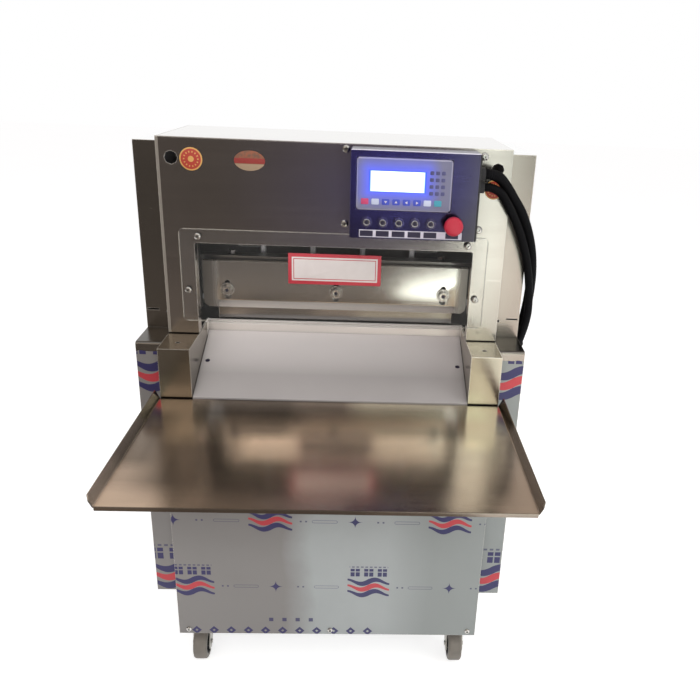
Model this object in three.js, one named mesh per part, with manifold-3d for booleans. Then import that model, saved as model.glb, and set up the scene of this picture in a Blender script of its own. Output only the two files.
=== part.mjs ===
// Guillotine slicer for frozen meat rolls, in millimetres, +Z up.
// Depths run along Y from the front face of the head plate, positive to the rear.
import * as THREE from 'three';
import { mergeVertices } from 'three/addons/utils/BufferGeometryUtils.js';
import Module from 'manifold-3d';

const wasm = await Module();
wasm.setup();

// General values
const sheet = 3;
const seat = 0.3;
const running = 0.5;
const overrun = 5;
const weld = 0.0001;
const fineSides = 14;
const roundSides = 12;
const smallSides = 8;
const hexSides = 6;
const cornerSides = 2;

// Levels above the floor
const frameLevel = 99;
const coverLowLevel = 188;
const panelTopLevel = 650;
const trayLevel = 666;
const bedLevel = 766;
const windowTopLevel = 948;
const headRearLevel = 905;
const coverTopLevel = 1130;
const headTopLevel = 1141;

// Widths across the machine
const bodyWidth = 650;
const columnWidth = 60;
const coverDepth = 50;

// Depths from the head plate
const cabinetAhead = 89;
const lowerCoverAhead = 55;
const upperCoverBehind = 31;
const headDepth = 260;
const upperCoverBack = 272;
const lowerCoverBack = 330;
const cabinetBehind = 470;
const bedEnd = 600;

// Base frame and panels
const frameHeight = 40;
const frameWall = 4;
const frameLedge = 75;
const panelReturn = 20;
const ventWidth = 90;
const ventHeight = 8;
const ventPitch = 26;
const ventCount = 4;
const ventLevel = 240;
const ventOffset = 130;

// Side frames
const cheek = 12;
const cheekFillet = 18;
const bearingRadius = 48;
const bearingReach = 20;

// Head plate
const jambReach = 22;
const portRadius = 12;
const portInset = 26.5;
const portDrop = 37;
const windowCorner = 4;

// Side covers
const coverCorner = 6;
const coverNotch = 14;
const coverSlotLevel = 803;
const coverSlotHeight = 3;
const coverSlotLength = 26;

// Outlet: rail boxes, bar and board
const railHoleRadius = 4.5;
const railHoleBack = 36;
const barFront = 88;
const barDepth = 10.5;
const barHeight = 32;
const barChamfer = 7;
const boardThick = 10;
const boardHighLevel = 744;
const boardLowLevel = 669;
const boardScrewRadius = 5;
const boardScrewSink = 3;
const boardScrewInset = 12;
const boardScrewDepth = 4;

// Discharge tray
const trayDepth = 368;
const trayDrop = 3;
const traySheet = 2;
const trayFlangeHeight = 16;
const trayFlangeLean = 7;
const trayFlangeCorner = 7;
const trayLip = 5;
const trayHook = 40;

// Blade, its holder and carrier
const bladeInset = 26.5;
const bladeThick = 6;
const bladeHeight = 94;
const bladeGround = 24;
const bladeEdge = 0.6;
const bladeBelowBed = 9;
const holderEndGap = 7.2;
const holderFront = 85;
const holderThick = 14;
const holderTopLevel = 893;
const holderFaceLevel = 811;
const holderLowLevel = 793;
const holderCorner = 8;
const holderLip = 4;
const boltInset = 49.5;
const boltLevel = 835;
const boltRadius = 5;
const boltHeadRadius = 9;
const boltHeadHeight = 8;
const boltSocket = 4;
const boltSocketDeep = 4;
const washerRadius = 13.5;
const washerThick = 3;
const keySlotRise = 13;
const keySlotDrop = 15;
const keyHoleRadius = 7;
const boltBite = 20;
const stroke = 130;
const carrierEndGap = 10.7;
const carrierDepth = 32;
const carrierRib = 10;
const carrierFlange = 12;
const shoeReach = 30;
const shoeLap = 14;
const shoeTopLevel = 900;
const shoeLowLevel = 822;
const capScrewRadius = 8;
const capScrewHeight = 9;
const capScrewInset = 51;

// Guide rails
const railWidth = 34;
const railDepth = 20;
const railGroove = 4;
const railLowLevel = 790;
const railTopLevel = 1125;

// Crank drive
const driveDepth = 126;
const crankLevel = 420;
const pinLevel = 862;
const pinRadius = 12;
const shaftRadius = 20;
const crankGap = 4;
const crankThick = 16;
const crankRadius = 92;
const crankHub = 36;
const crankHubStep = 3;
const crankPinRadius = 15;
const crankPinReach = 4;
const crankEyeRadius = 13;
const crankEyeOut = 58;
const crankEyeCount = 5;
const rodThick = 12;
const rodBigRadius = 34;
const rodSmallRadius = 25;
const rodShank = 30;
const rodWeb = 4;
const rodWebMargin = 7;
const rodWebLand = 14;
const rodCapRadius = 19;
const slotSlack = 6;

// Belt drive and motor
const wheelRadius = 150;
const wheelWidth = 46;
const wheelRim = 14;
const wheelHub = 34;
const wheelWeb = 12;
const wheelEyeRadius = 30;
const wheelEyeCount = 6;
const wheelCentre = -90;
const beltWidth = 30;
const beltThick = 5;
const flange = 4;
const flangeWall = 6;
const beltSides = 14;
const motorDepth = 322;
const motorLevel = 239;
const motorPulleyRadius = 37.5;
const motorRadius = 74;
const motorLength = 210;
const motorEnd = 16;
const motorFin = 7;
const motorFinCount = 14;
const motorFinWidth = 3;
const motorShaftRadius = 12;
const motorShaftBite = 40;
const motorFootWidth = 170;
const motorFootThick = 10;
const motorFootInset = 24;
const motorFootWeb = 26;
const motorGap = 16;
const motorBoxWidth = 90;
const motorBoxDepth = 70;
const motorBoxHeight = 34;

// Feed bed, pusher and presses
const laneCount = 4;
const bedMargin = 54;
const troughWall = 3;
const troughLip = 12;
const troughHeight = 94;
const troughStart = 212;
const troughFlare = 30;
const bedThick = 12;
const deckThick = 12;
const dividerHeight = 40;
const dividerThick = 3;
const knifeGap = 3;
const knifeDepth = 40;
const endPlateThick = 12;
const endPlateLow = 738;
const endPlateTop = 876;
const screwInset = 51;
const screwLevel = 806;
const screwRadius = 10;
const journalRadius = 7;
const journalLength = 12;
const guideRodRadius = 9;
const bracketWidth = 40;
const bracketDepth = 18;
const bracketBack = 276;
const bracketRise = 20;
const feedMotorSize = 86;
const feedMotorLength = 78;
const feedMotorCorner = 9;
const feedMotorGroove = 2;
const feedMotorGrooveShare = 0.2;
const pusherParkGap = 8;
const pusherNut = 34;
const pusherNutRadius = 22;
const pusherBarLow = 868;
const pusherBarHeight = 16;
const pusherBarDepth = 34;
const pusherArm = 96;
const pusherArmWidth = 16;
const pusherArmHeight = 14;
const pusherPadThick = 10;
const pusherPadWidth = 84;
const pusherPadHeight = 84;
const pusherClear = 3;
const pressDepth = 166;
const pressRodRadius = 6;
const pressRodTop = 1050;
const pressFootWidth = 92;
const pressFootDepth = 44;
const pressFootThick = 10;
const pressFootRise = 7;
const pressFootCurl = 9;
const pressCollarRadius = 11;
const pressCollarHeight = 16;
const beamBack = 196;
const beamThick = 8;
const beamLow = 884;
const beamShelfLevel = 985;
const beamShelfThick = 12;
const beamShelfFront = 145;
const beamEyeWidth = 52;
const beamEyeHeight = 48;
const beamEyeOffset = 190;
const beamEyeLevel = 898;
const bushRadius = 12;
const bushHeight = 8;

// Acrylic guard
const guardLap = 28;
const guardLow = 794;
const guardTop = 976;
const guardThick = 4;
const guardCorner = 10;

// Control box
const boxInset = 67;
const boxWidth = 230;
const boxLow = 983;
const boxHeight = 155;
const boxDepth = 70;
const boxCorner = 4;
const displayInset = 11;
const displayWidth = 168;
const displayHeight = 91;
const displayDrop = 12;
const displayThick = 7;
const displaySink = 3;
const displayBevel = 3;
const screenInset = 22;
const screenWidth = 100;
const screenHeight = 37;
const screenDrop = 21.5;
const screenSink = 1.2;
const buttonStart = 30.5;
const buttonPitch = 28.7;
const buttonCount = 5;
const buttonLevel = 1013.5;
const buttonRadius = 6.5;
const bezelRadius = 9.5;
const bezelHeight = 4;
const buttonProud = 3.5;
const buttonDome = 1.2;
const buttonDomeShare = 0.8;
const buttonEdgeShare = 0.35;
const buttonBite = 9;
const buttonHole = 16;
const stopOffset = 185;
const stopRadius = 17;
const stopHeight = 14;
const stopEdge = 4;
const stopNeck = 9;
const stopCollarRadius = 14;
const stopCollarHeight = 8;
const stopTravel = 5;
const stopBite = 10;
const glandLength = 10;
const glandWall = 3.3;
const glandDepth = 25.3;
const glandDrop = 37;
const glandPitch = 23;

// Conduits from the control box to the right side cover
const conduitRadius = 10;
const conduitInnerRadius = 8;
const conduitSides = 8;
const conduitSteps = 20;
const elbowBend = 17;
const elbowFlangeThick = 5;
const elbowSteps = 4;

// Casters
const casterInset = 38;
const casterFront = -15;
const casterBack = 415;
const casterTrail = 30;
const wheelTyreRadius = 37.5;
const wheelTyreWidth = 30;
const tyreShoulder = 4;
const tyreDish = 6;
const tyreSides = 14;
const tyreRimRadius = 27;
const tyreHubRadius = 11;
const axleRadius = 5;
const forkWall = 3;
const forkLegWidth = 34;
const forkCrown = 50;
const raceRadius = 27;
const raceHeight = 9;
const raceTaperShare = 0.75;
const casterPlateWidth = 62;
const casterPlateLength = 88;
const casterPlateThick = 4;
const pedalWidth = 30;
const pedalLength = 34;
const pedalThick = 4;
const pedalDrop = 6;
const pedalTip = 18;
const pedalWeb = 14;

// Worked out from the sizes above
const halfBody = bodyWidth / 2;
const innerHalf = halfBody - columnWidth;
const cheekInner = halfBody - cheek;
const outerHalf = halfBody + coverDepth;
const railInner = cheekInner - seat - railWidth;
const holderHalf = railInner - holderEndGap;
const bladeHalf = holderHalf - bladeInset;
const boltPitch = holderHalf - boltInset;
const carrierHalf = railInner - carrierEndGap;
const lanePitch = (innerHalf - bedMargin) * 2 / laneCount;
const knifeHalf = innerHalf - knifeGap;
const screwOffset = cheekInner - screwInset;
const guardHalf = innerHalf + guardLap;
const boxLeft = halfBody - boxInset - boxWidth;
const cabinetFrontY = -cabinetAhead;
const panelBackY = cabinetFrontY + panelReturn;
const bladeBack = holderFront + holderThick + seat + bladeThick;
const bladeLowLevel = bedLevel - bladeBelowBed;
const carrierFront = bladeBack + seat;
const carrierBack = carrierFront + carrierDepth;
const bedFront = bladeBack + running;
const deckLevel = bedLevel - bedThick;
const crankInner = halfBody + crankGap;
const crankOuter = crankInner + crankThick;
const crankPinFace = crankOuter + crankPinReach;
const rodInner = crankPinFace + seat;
const rodOuter = rodInner + rodThick;
const crankThrow = stroke / 2;
const rodLength = pinLevel - (crankLevel - crankThrow);
const boxFront = -seat - boxDepth;
const boxBase = -seat;
const boxRight = boxLeft + boxWidth;
const troughHalf = (laneCount * lanePitch) / 2 + sheet;
const endPlateY = bedEnd;
const pusherRest = endPlateY - pusherNut - pusherParkGap;
const feedMotorY = endPlateY + endPlateThick + seat;
const trayBackY = cabinetFrontY - seat - (trayHook * trayDrop) / trayDepth;
const modelFront = trayBackY - trayDepth;
const modelBack = feedMotorY + feedMotorLength;
const originY = (modelFront + modelBack) / 2;

// Solids from geometries, with joins and cuts
function solidOf(geometry) {
  const bare = geometry.index ? geometry.toNonIndexed() : geometry.clone();
  for (const name of Object.keys(bare.attributes)) {
    if (name !== 'position') bare.deleteAttribute(name);
  }
  const welded = mergeVertices(bare, weld);
  const place = welded.getAttribute('position');
  const corner = [new THREE.Vector3(), new THREE.Vector3(), new THREE.Vector3()];
  const faces = [];
  let volume = 0;
  for (let i = 0; i < welded.index.count; i += 3) {
    const ids = [0, 1, 2].map((k) => welded.index.getX(i + k));
    if (ids[0] === ids[1] || ids[1] === ids[2] || ids[2] === ids[0]) continue;
    ids.forEach((id, k) => corner[k].fromBufferAttribute(place, id));
    volume += corner[0].dot(corner[1].clone().cross(corner[2]));
    faces.push(ids);
  }
  const order = volume < 0 ? [0, 2, 1] : [0, 1, 2];
  const triVerts = new Uint32Array(faces.flatMap((ids) => order.map((k) => ids[k])));
  const vertProperties = new Float32Array(place.array);
  return new wasm.Manifold(new wasm.Mesh({ numProp: 3, vertProperties, triVerts }));
}

function join(first, ...others) {
  return others.reduce((whole, piece) => whole.add(piece), first);
}

function cut(first, ...tools) {
  return tools.reduce((whole, tool) => whole.subtract(tool), first);
}

function box(x0, x1, y0, y1, z0, z1) {
  const geometry = new THREE.BoxGeometry(x1 - x0, y1 - y0, z1 - z0);
  return solidOf(geometry.translate((x0 + x1) / 2, (y0 + y1) / 2, (z0 + z1) / 2));
}

// An outline in (y, z), run along X
function alongX(shape, x0, x1, sides = smallSides) {
  const geometry = new THREE.ExtrudeGeometry(shape, {
    depth: x1 - x0, bevelEnabled: false, curveSegments: sides,
  });
  const turn = new THREE.Matrix4().makeBasis(
    new THREE.Vector3(0, 1, 0), new THREE.Vector3(0, 0, 1), new THREE.Vector3(1, 0, 0));
  return solidOf(geometry.applyMatrix4(turn).translate(x0, 0, 0));
}

// An outline in (x, z), run along Y
function alongY(shape, y0, y1, sides = smallSides) {
  const geometry = new THREE.ExtrudeGeometry(shape, {
    depth: y1 - y0, bevelEnabled: false, curveSegments: sides,
  });
  return solidOf(geometry.rotateX(Math.PI / 2).translate(0, y1, 0));
}

// An outline in (x, y), run along Z
function alongZ(shape, z0, z1, sides = smallSides) {
  const geometry = new THREE.ExtrudeGeometry(shape, {
    depth: z1 - z0, bevelEnabled: false, curveSegments: sides,
  });
  return solidOf(geometry.translate(0, 0, z0));
}

function outline(points) {
  return new THREE.Shape(points.map(([u, v]) => new THREE.Vector2(u, v)));
}

function roundedRect(u0, u1, v0, v1, radius) {
  const shape = new THREE.Shape();
  shape.moveTo(u0 + radius, v0);
  shape.lineTo(u1 - radius, v0);
  shape.absarc(u1 - radius, v0 + radius, radius, -Math.PI / 2, 0);
  shape.lineTo(u1, v1 - radius);
  shape.absarc(u1 - radius, v1 - radius, radius, 0, Math.PI / 2);
  shape.lineTo(u0 + radius, v1);
  shape.absarc(u0 + radius, v1 - radius, radius, Math.PI / 2, Math.PI);
  shape.lineTo(u0, v0 + radius);
  shape.absarc(u0 + radius, v0 + radius, radius, Math.PI, Math.PI * 1.5);
  return shape;
}

function disc(u, v, radius) {
  const shape = new THREE.Shape();
  shape.absarc(u, v, radius, 0, Math.PI * 2);
  return shape;
}

// A closed profile of (radius, height) pairs, turned about Z
function turned(points, sides = roundSides) {
  const profile = points.map(([r, h]) => new THREE.Vector2(r, h));
  if (points[0][0] > 0 || points.at(-1)[0] > 0) profile.push(profile[0].clone());
  return solidOf(new THREE.LatheGeometry(profile, sides).rotateX(Math.PI / 2));
}

const quarter = 90;
const turnToX = (solid) => solid.rotate([0, quarter, 0]);
const turnToFront = (solid) => solid.rotate([quarter, 0, 0]);

function rod(radius, from, to, sides = roundSides) {
  return turned([[0, from], [radius, from], [radius, to], [0, to]], sides);
}

function rodAlongX(radius, x0, x1, y, z, sides = roundSides) {
  return turnToX(rod(radius, x0, x1, sides)).translate([0, y, z]);
}

function rodAlongY(radius, y0, y1, x, z, sides = roundSides) {
  return turnToFront(rod(radius, -y1, -y0, sides)).translate([x, 0, z]);
}

function mirrored(solid) {
  return solid.mirror([1, 0, 0]);
}

// Radius to the corners of a faceted round whose flats lie a given clearance outside a radius
function boreFor(shaft, clear, sides) {
  return (shaft + clear) / Math.cos(Math.PI / sides);
}

// Materials, one for each finish
const finishes = {
  brushed: () => new THREE.MeshStandardMaterial({ color: '#a8a49e', roughness: 0.34, metalness: 1 }),
  warmSteel: () => new THREE.MeshStandardMaterial({ color: '#9b948a', roughness: 0.3, metalness: 1 }),
  filmed: () => new THREE.MeshStandardMaterial({ color: '#b9c2c9', roughness: 0.42, metalness: 0.2 }),
  frame: () => new THREE.MeshStandardMaterial({ color: '#7d7f80', roughness: 0.5, metalness: 0.9 }),
  blade: () => new THREE.MeshStandardMaterial({ color: '#c3c4c2', roughness: 0.18, metalness: 1 }),
  steel: () => new THREE.MeshStandardMaterial({ color: '#8d8f90', roughness: 0.28, metalness: 1 }),
  chrome: () => new THREE.MeshStandardMaterial({ color: '#d6d8da', roughness: 0.1, metalness: 1 }),
  iron: () => new THREE.MeshStandardMaterial({ color: '#4b5054', roughness: 0.6, metalness: 0.8 }),
  motor: () => new THREE.MeshStandardMaterial({ color: '#3f5a6b', roughness: 0.55, metalness: 0.2 }),
  rubber: () => new THREE.MeshStandardMaterial({ color: '#1d1d1e', roughness: 0.7, metalness: 0 }),
  tyre: () => new THREE.MeshStandardMaterial({ color: '#6d655f', roughness: 0.65, metalness: 0 }),
  board: () => new THREE.MeshStandardMaterial({ color: '#e4e1e8', roughness: 0.5, metalness: 0 }),
  acrylic: () => new THREE.MeshStandardMaterial({
    color: '#e8eef0', roughness: 0.06, metalness: 0, transparent: true, opacity: 0.2,
  }),
  darkBox: () => new THREE.MeshStandardMaterial({ color: '#3a3945', roughness: 0.35, metalness: 0.7 }),
  display: () => new THREE.MeshStandardMaterial({ color: '#8f95b4', roughness: 0.45, metalness: 0 }),
  red: () => new THREE.MeshStandardMaterial({ color: '#c3202c', roughness: 0.4, metalness: 0 }),
  conduit: () => new THREE.MeshStandardMaterial({ color: '#141416', roughness: 0.5, metalness: 0 }),
  zinc: () => new THREE.MeshStandardMaterial({ color: '#a9abac', roughness: 0.4, metalness: 0.9 }),
};

// Cabinet
function baseFrame() {
  const front = panelBackY + seat;
  const back = cabinetBehind - panelReturn - seat;
  const top = frameLevel + frameHeight;
  const block = box(-halfBody, halfBody, front, back, frameLevel, top);
  const pocket = box(-halfBody + frameWall, halfBody - frameWall, front + frameWall, back - frameWall,
    frameLevel + frameWall, top - frameWall);
  const mouth = box(-halfBody + frameLedge, halfBody - frameLedge, front + frameLedge,
    back - frameLedge, frameLevel - overrun, frameLevel + frameWall + overrun);
  const plates = casterPlaces().map(([x, y]) => box(x - casterPlateWidth / 2, x + casterPlateWidth / 2,
    y - casterPlateLength / 2, y + casterPlateLength / 2, frameLevel - casterPlateThick, frameLevel));
  return join(cut(block, pocket, mouth), ...plates);
}

// A pan-shaped panel: a sheet with its four edges turned back
function panPanel(y0, y1, faceAtFront, top) {
  const shell = box(-halfBody, halfBody, y0, y1, frameLevel, top);
  const from = faceAtFront ? y0 + sheet : y0 - overrun;
  const to = faceAtFront ? y1 + overrun : y1 - sheet;
  const inside = box(-halfBody + sheet, halfBody - sheet, from, to, frameLevel + sheet, top - sheet);
  return cut(shell, inside);
}

function frontPanel() {
  return panPanel(cabinetFrontY, panelBackY, true, panelTopLevel);
}

function backPanel() {
  const y1 = cabinetBehind;
  const panel = panPanel(y1 - panelReturn, y1, false, deckLevel - seat * 2);
  const vents = [];
  for (const side of [-1, 1]) {
    for (let i = 0; i < ventCount; i += 1) {
      const x = side * ventOffset;
      const z = ventLevel + i * ventPitch;
      const slot = roundedRect(x - ventWidth / 2, x + ventWidth / 2, z, z + ventHeight, ventHeight / 2);
      vents.push(alongY(slot, y1 - sheet - overrun, y1 + overrun, 1));
    }
  }
  return cut(panel, ...vents);
}

// Full-height side plate that carries the head, the shaft bearing and the guide rail
function sideFrame() {
  const front = panelBackY + seat;
  const back = cabinetBehind - panelReturn - seat;
  const low = frameLevel + frameHeight + seat;
  const neck = sheet + seat;
  const headBack = headDepth - sheet - seat;
  const top = headTopLevel - sheet - seat;
  const plate = new THREE.Shape();
  plate.moveTo(front, low);
  plate.lineTo(back, low);
  plate.lineTo(back, deckLevel);
  plate.lineTo(headBack + cheekFillet, deckLevel);
  plate.absarc(headBack + cheekFillet, deckLevel + cheekFillet, cheekFillet, -Math.PI / 2, -Math.PI, true);
  plate.lineTo(headBack, top);
  plate.lineTo(neck, top);
  plate.lineTo(neck, panelTopLevel);
  plate.lineTo(front, panelTopLevel);
  const slot = new THREE.Path();
  const slotRadius = pinRadius + slotSlack;
  slot.absarc(driveDepth, pinLevel + stroke, slotRadius, 0, Math.PI);
  slot.absarc(driveDepth, pinLevel, slotRadius, Math.PI, Math.PI * 2);
  plate.holes.push(slot);
  const body = alongX(plate, cheekInner, halfBody, smallSides / 2);
  const bearing = cheekInner - bearingReach;
  const boss = rodAlongX(bearingRadius, bearing, cheekInner + seat, driveDepth, crankLevel);
  const bore = rodAlongX(boreFor(shaftRadius, seat, roundSides), bearing - overrun, halfBody + overrun,
    driveDepth, crankLevel);
  return cut(join(body, boss), bore);
}

// Head: front plate with the outlet window, top and rear in one folded sheet
function headShell() {
  const low = bedLevel + seat;
  const fold = outline([
    [0, low], [sheet, low], [sheet, headTopLevel - sheet],
    [headDepth - sheet, headTopLevel - sheet], [headDepth - sheet, headRearLevel],
    [headDepth, headRearLevel], [headDepth, headTopLevel], [0, headTopLevel],
  ]);
  const wrap = alongX(fold, -halfBody, halfBody);
  const window = alongY(roundedRect(-innerHalf, innerHalf, low - columnWidth, windowTopLevel, windowCorner),
    -overrun, sheet + overrun, cornerSides);
  const ports = [-1, 1].map((side) => rodAlongY(portRadius, -overrun, sheet + overrun,
    side * (halfBody - portInset), headTopLevel - portDrop, smallSides));
  const jambs = [-1, 1].map((side) => box(side > 0 ? innerHalf : -innerHalf - sheet,
    side > 0 ? innerHalf + sheet : -innerHalf, sheet - seat, jambReach, low, windowTopLevel + sheet));
  const lintel = box(-innerHalf - sheet, innerHalf + sheet, sheet - seat, jambReach,
    windowTopLevel, windowTopLevel + sheet);
  return join(cut(wrap, window, ...ports), ...jambs, lintel);
}

function coverOutline(inset) {
  const front = -lowerCoverAhead + inset;
  const step = upperCoverBehind + inset;
  const low = coverLowLevel + inset;
  const shelf = bedLevel - inset;
  const top = coverTopLevel - inset;
  const back = lowerCoverBack - inset;
  const upperBack = upperCoverBack - inset;
  const radius = coverCorner - inset / 2;
  const shape = new THREE.Shape();
  shape.moveTo(front, low);
  shape.lineTo(back, low);
  shape.lineTo(back, shelf - radius);
  shape.absarc(back - radius, shelf - radius, radius, 0, Math.PI / 2);
  shape.lineTo(upperBack, shelf);
  shape.lineTo(upperBack, top - radius);
  shape.absarc(upperBack - radius, top - radius, radius, 0, Math.PI / 2);
  shape.lineTo(step, top);
  shape.lineTo(step, shelf);
  shape.lineTo(front + radius, shelf);
  shape.absarc(front + radius, shelf - radius, radius, Math.PI / 2, Math.PI);
  return shape;
}

// Stepped cover over the crank and connecting rod of one side, open towards the machine
function sideCover() {
  const inner = halfBody + seat;
  const shell = alongX(coverOutline(0), inner, outerHalf, cornerSides * 2);
  const hollow = alongX(coverOutline(sheet), inner - overrun, outerHalf - sheet, cornerSides * 2);
  const slot = box(outerHalf - coverSlotLength, outerHalf - sheet, upperCoverBehind - overrun,
    upperCoverBehind + sheet + overrun, coverSlotLevel, coverSlotLevel + coverSlotHeight);
  const hole = rodAlongY(coverSlotHeight, upperCoverBehind - overrun, upperCoverBehind + sheet + overrun,
    inner + coverNotch / 2, coverSlotLevel - coverSlotHeight, smallSides);
  return cut(shell, hollow, slot, hole);
}

// Outlet frame: two rail boxes, the sloping chute sheet and the bar in front of the blade
function railBox(side) {
  const x0 = innerHalf;
  const x1 = halfBody;
  const low = panelTopLevel + seat;
  const outer = box(x0, x1, cabinetFrontY, sheet, low, bedLevel);
  const inner = box(x0 + sheet, x1 - sheet, cabinetFrontY + sheet, sheet + overrun, low - overrun,
    bedLevel - sheet);
  const topRear = box(x0, cheekInner - seat, 0, barFront + barDepth, bedLevel - sheet, bedLevel);
  const wallRear = box(x0, x0 + sheet, 0, barFront + barDepth, low, bedLevel);
  const hole = rod(railHoleRadius, bedLevel - sheet - overrun, bedLevel + overrun, smallSides)
    .translate([(x0 + x1) / 2, cabinetFrontY + railHoleBack, 0]);
  const solid = cut(join(cut(outer, inner), topRear, wallRear), hole);
  return side > 0 ? solid : mirrored(solid);
}

function boardSlope() {
  return Math.atan2(boardHighLevel - boardLowLevel, barFront + cabinetAhead);
}

// A sloping slab in (y, z) whose upper face lies a given depth under the board's face
function slopeSlab(front, back, under, thick) {
  const rise = Math.tan(boardSlope());
  const drop = 1 / Math.cos(boardSlope());
  const faceAt = (y, depth) => boardLowLevel + (y - cabinetFrontY) * rise - depth * drop;
  return outline([
    [front, faceAt(front, under + thick)], [back, faceAt(back, under + thick)],
    [back, faceAt(back, under)], [front, faceAt(front, under)],
  ]);
}

function outletFrame() {
  const chute = alongX(slopeSlab(cabinetFrontY, barFront + sheet, boardThick + seat, sheet / 2),
    -innerHalf - sheet / 2, innerHalf + sheet / 2);
  const high = bedLevel - running;
  const bar = outline([
    [barFront, high - barHeight], [barFront + barDepth, high - barHeight],
    [barFront + barDepth, high], [barFront + barChamfer, high], [barFront, high - barChamfer],
  ]);
  const barSolid = alongX(bar, -innerHalf - sheet / 2, innerHalf + sheet / 2);
  return join(railBox(-1), railBox(1), chute, barSolid);
}

function outletBoard() {
  const half = innerHalf - seat;
  const slab = alongX(slopeSlab(cabinetFrontY + seat, barFront - seat, 0, boardThick), -half, half);
  const faceLevel = boardLowLevel + (boardScrewDepth - cabinetFrontY) * Math.tan(boardSlope());
  const screws = [-1, 1].map((side) => rod(boardScrewRadius, -boardScrewSink, overrun, smallSides)
    .rotate([THREE.MathUtils.radToDeg(boardSlope()), 0, 0])
    .translate([side * (innerHalf - boardScrewInset), boardScrewDepth, faceLevel]));
  return cut(slab, ...screws);
}

// Tray: floor with leaning side flanges, a front lip and a hook down the cabinet front
function trayProfile() {
  const floor = halfBody + sheet / 2;
  const top = trayFlangeHeight;
  const lean = trayFlangeLean;
  return outline([
    [-floor, -traySheet], [floor, -traySheet], [floor + lean + traySheet, top],
    [floor + lean, top], [floor - traySheet / 2, 0], [-floor + traySheet / 2, 0],
    [-floor - lean, top], [-floor - lean - traySheet, top],
  ]);
}

function dischargeTray() {
  const body = alongY(trayProfile(), -trayDepth, 0);
  const lip = box(-halfBody, halfBody, -trayDepth, -trayDepth + traySheet, -traySheet - trayLip,
    -traySheet / 2);
  const hook = box(-halfBody, halfBody, -traySheet, 0, -trayHook, -traySheet / 2);
  const reach = halfBody + trayFlangeLean + trayFlangeHeight;
  const corner = outline([
    [-trayDepth - overrun, trayFlangeHeight - trayFlangeCorner - overrun],
    [-trayDepth + trayFlangeCorner + overrun, trayFlangeHeight + overrun],
    [-trayDepth - overrun, trayFlangeHeight + overrun],
  ]);
  return cut(join(body, lip, hook), alongX(corner, -reach, reach));
}

// Blade group
function bladeHolder() {
  const half = holderHalf;
  const back = holderFront + holderThick;
  const side = outline([
    [holderFront, holderFaceLevel], [holderFront, holderTopLevel], [back, holderTopLevel],
    [back, holderLowLevel], [back - holderLip, holderLowLevel],
  ]);
  const slab = alongX(side, -half, half);
  const corners = [-1, 1].map((sign) => alongY(outline([
    [sign * (half + overrun), holderLowLevel - overrun],
    [sign * (half - holderCorner - overrun), holderLowLevel - overrun],
    [sign * (half + overrun), holderLowLevel + holderCorner + overrun],
  ]), holderFront - overrun, back + overrun));
  const keys = boltPlaces().map((x) => {
    const slot = new THREE.Shape();
    const radius = boltRadius + running;
    slot.absarc(x, boltLevel + keySlotRise, radius, 0, Math.PI);
    slot.absarc(x, boltLevel - keySlotDrop, radius, Math.PI, Math.PI * 2);
    const key = alongY(slot, holderFront - overrun, back + overrun, smallSides / 2);
    const eye = rodAlongY(keyHoleRadius, holderFront - overrun, back + overrun, x, boltLevel - keySlotDrop,
      smallSides);
    return join(key, eye);
  });
  return cut(slab, ...corners, ...keys);
}

function boltPlaces() {
  return [-boltPitch, 0, boltPitch];
}

function bladeSolid() {
  const half = bladeHalf;
  const front = holderFront + holderThick + seat;
  const low = bladeLowLevel;
  const side = outline([
    [bladeBack, low], [bladeBack, low + bladeHeight], [front, low + bladeHeight],
    [front, low + bladeGround], [bladeBack - bladeEdge, low],
  ]);
  const holes = boltPlaces().map((x) => rodAlongY(boltRadius + running, front - overrun,
    bladeBack + overrun, x, boltLevel, smallSides));
  return cut(alongX(side, -half, half), ...holes);
}

// Hexagon socket bolt with its washer, pointing to the rear, its washer face at the origin
function bladeBolt() {
  const shankLength = holderThick + seat + bladeThick + seat + boltBite;
  const head = turned([
    [0, 0], [washerRadius, 0], [washerRadius, washerThick], [boltHeadRadius, washerThick],
    [boltHeadRadius, washerThick + boltHeadHeight], [0, washerThick + boltHeadHeight],
  ], smallSides);
  const shank = rod(boltRadius, -shankLength, overrun / 2, smallSides);
  const socket = rod(boltSocket, washerThick + boltHeadHeight - boltSocketDeep,
    washerThick + boltHeadHeight + overrun, hexSides);
  return turnToFront(cut(join(head, shank), socket));
}

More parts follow.
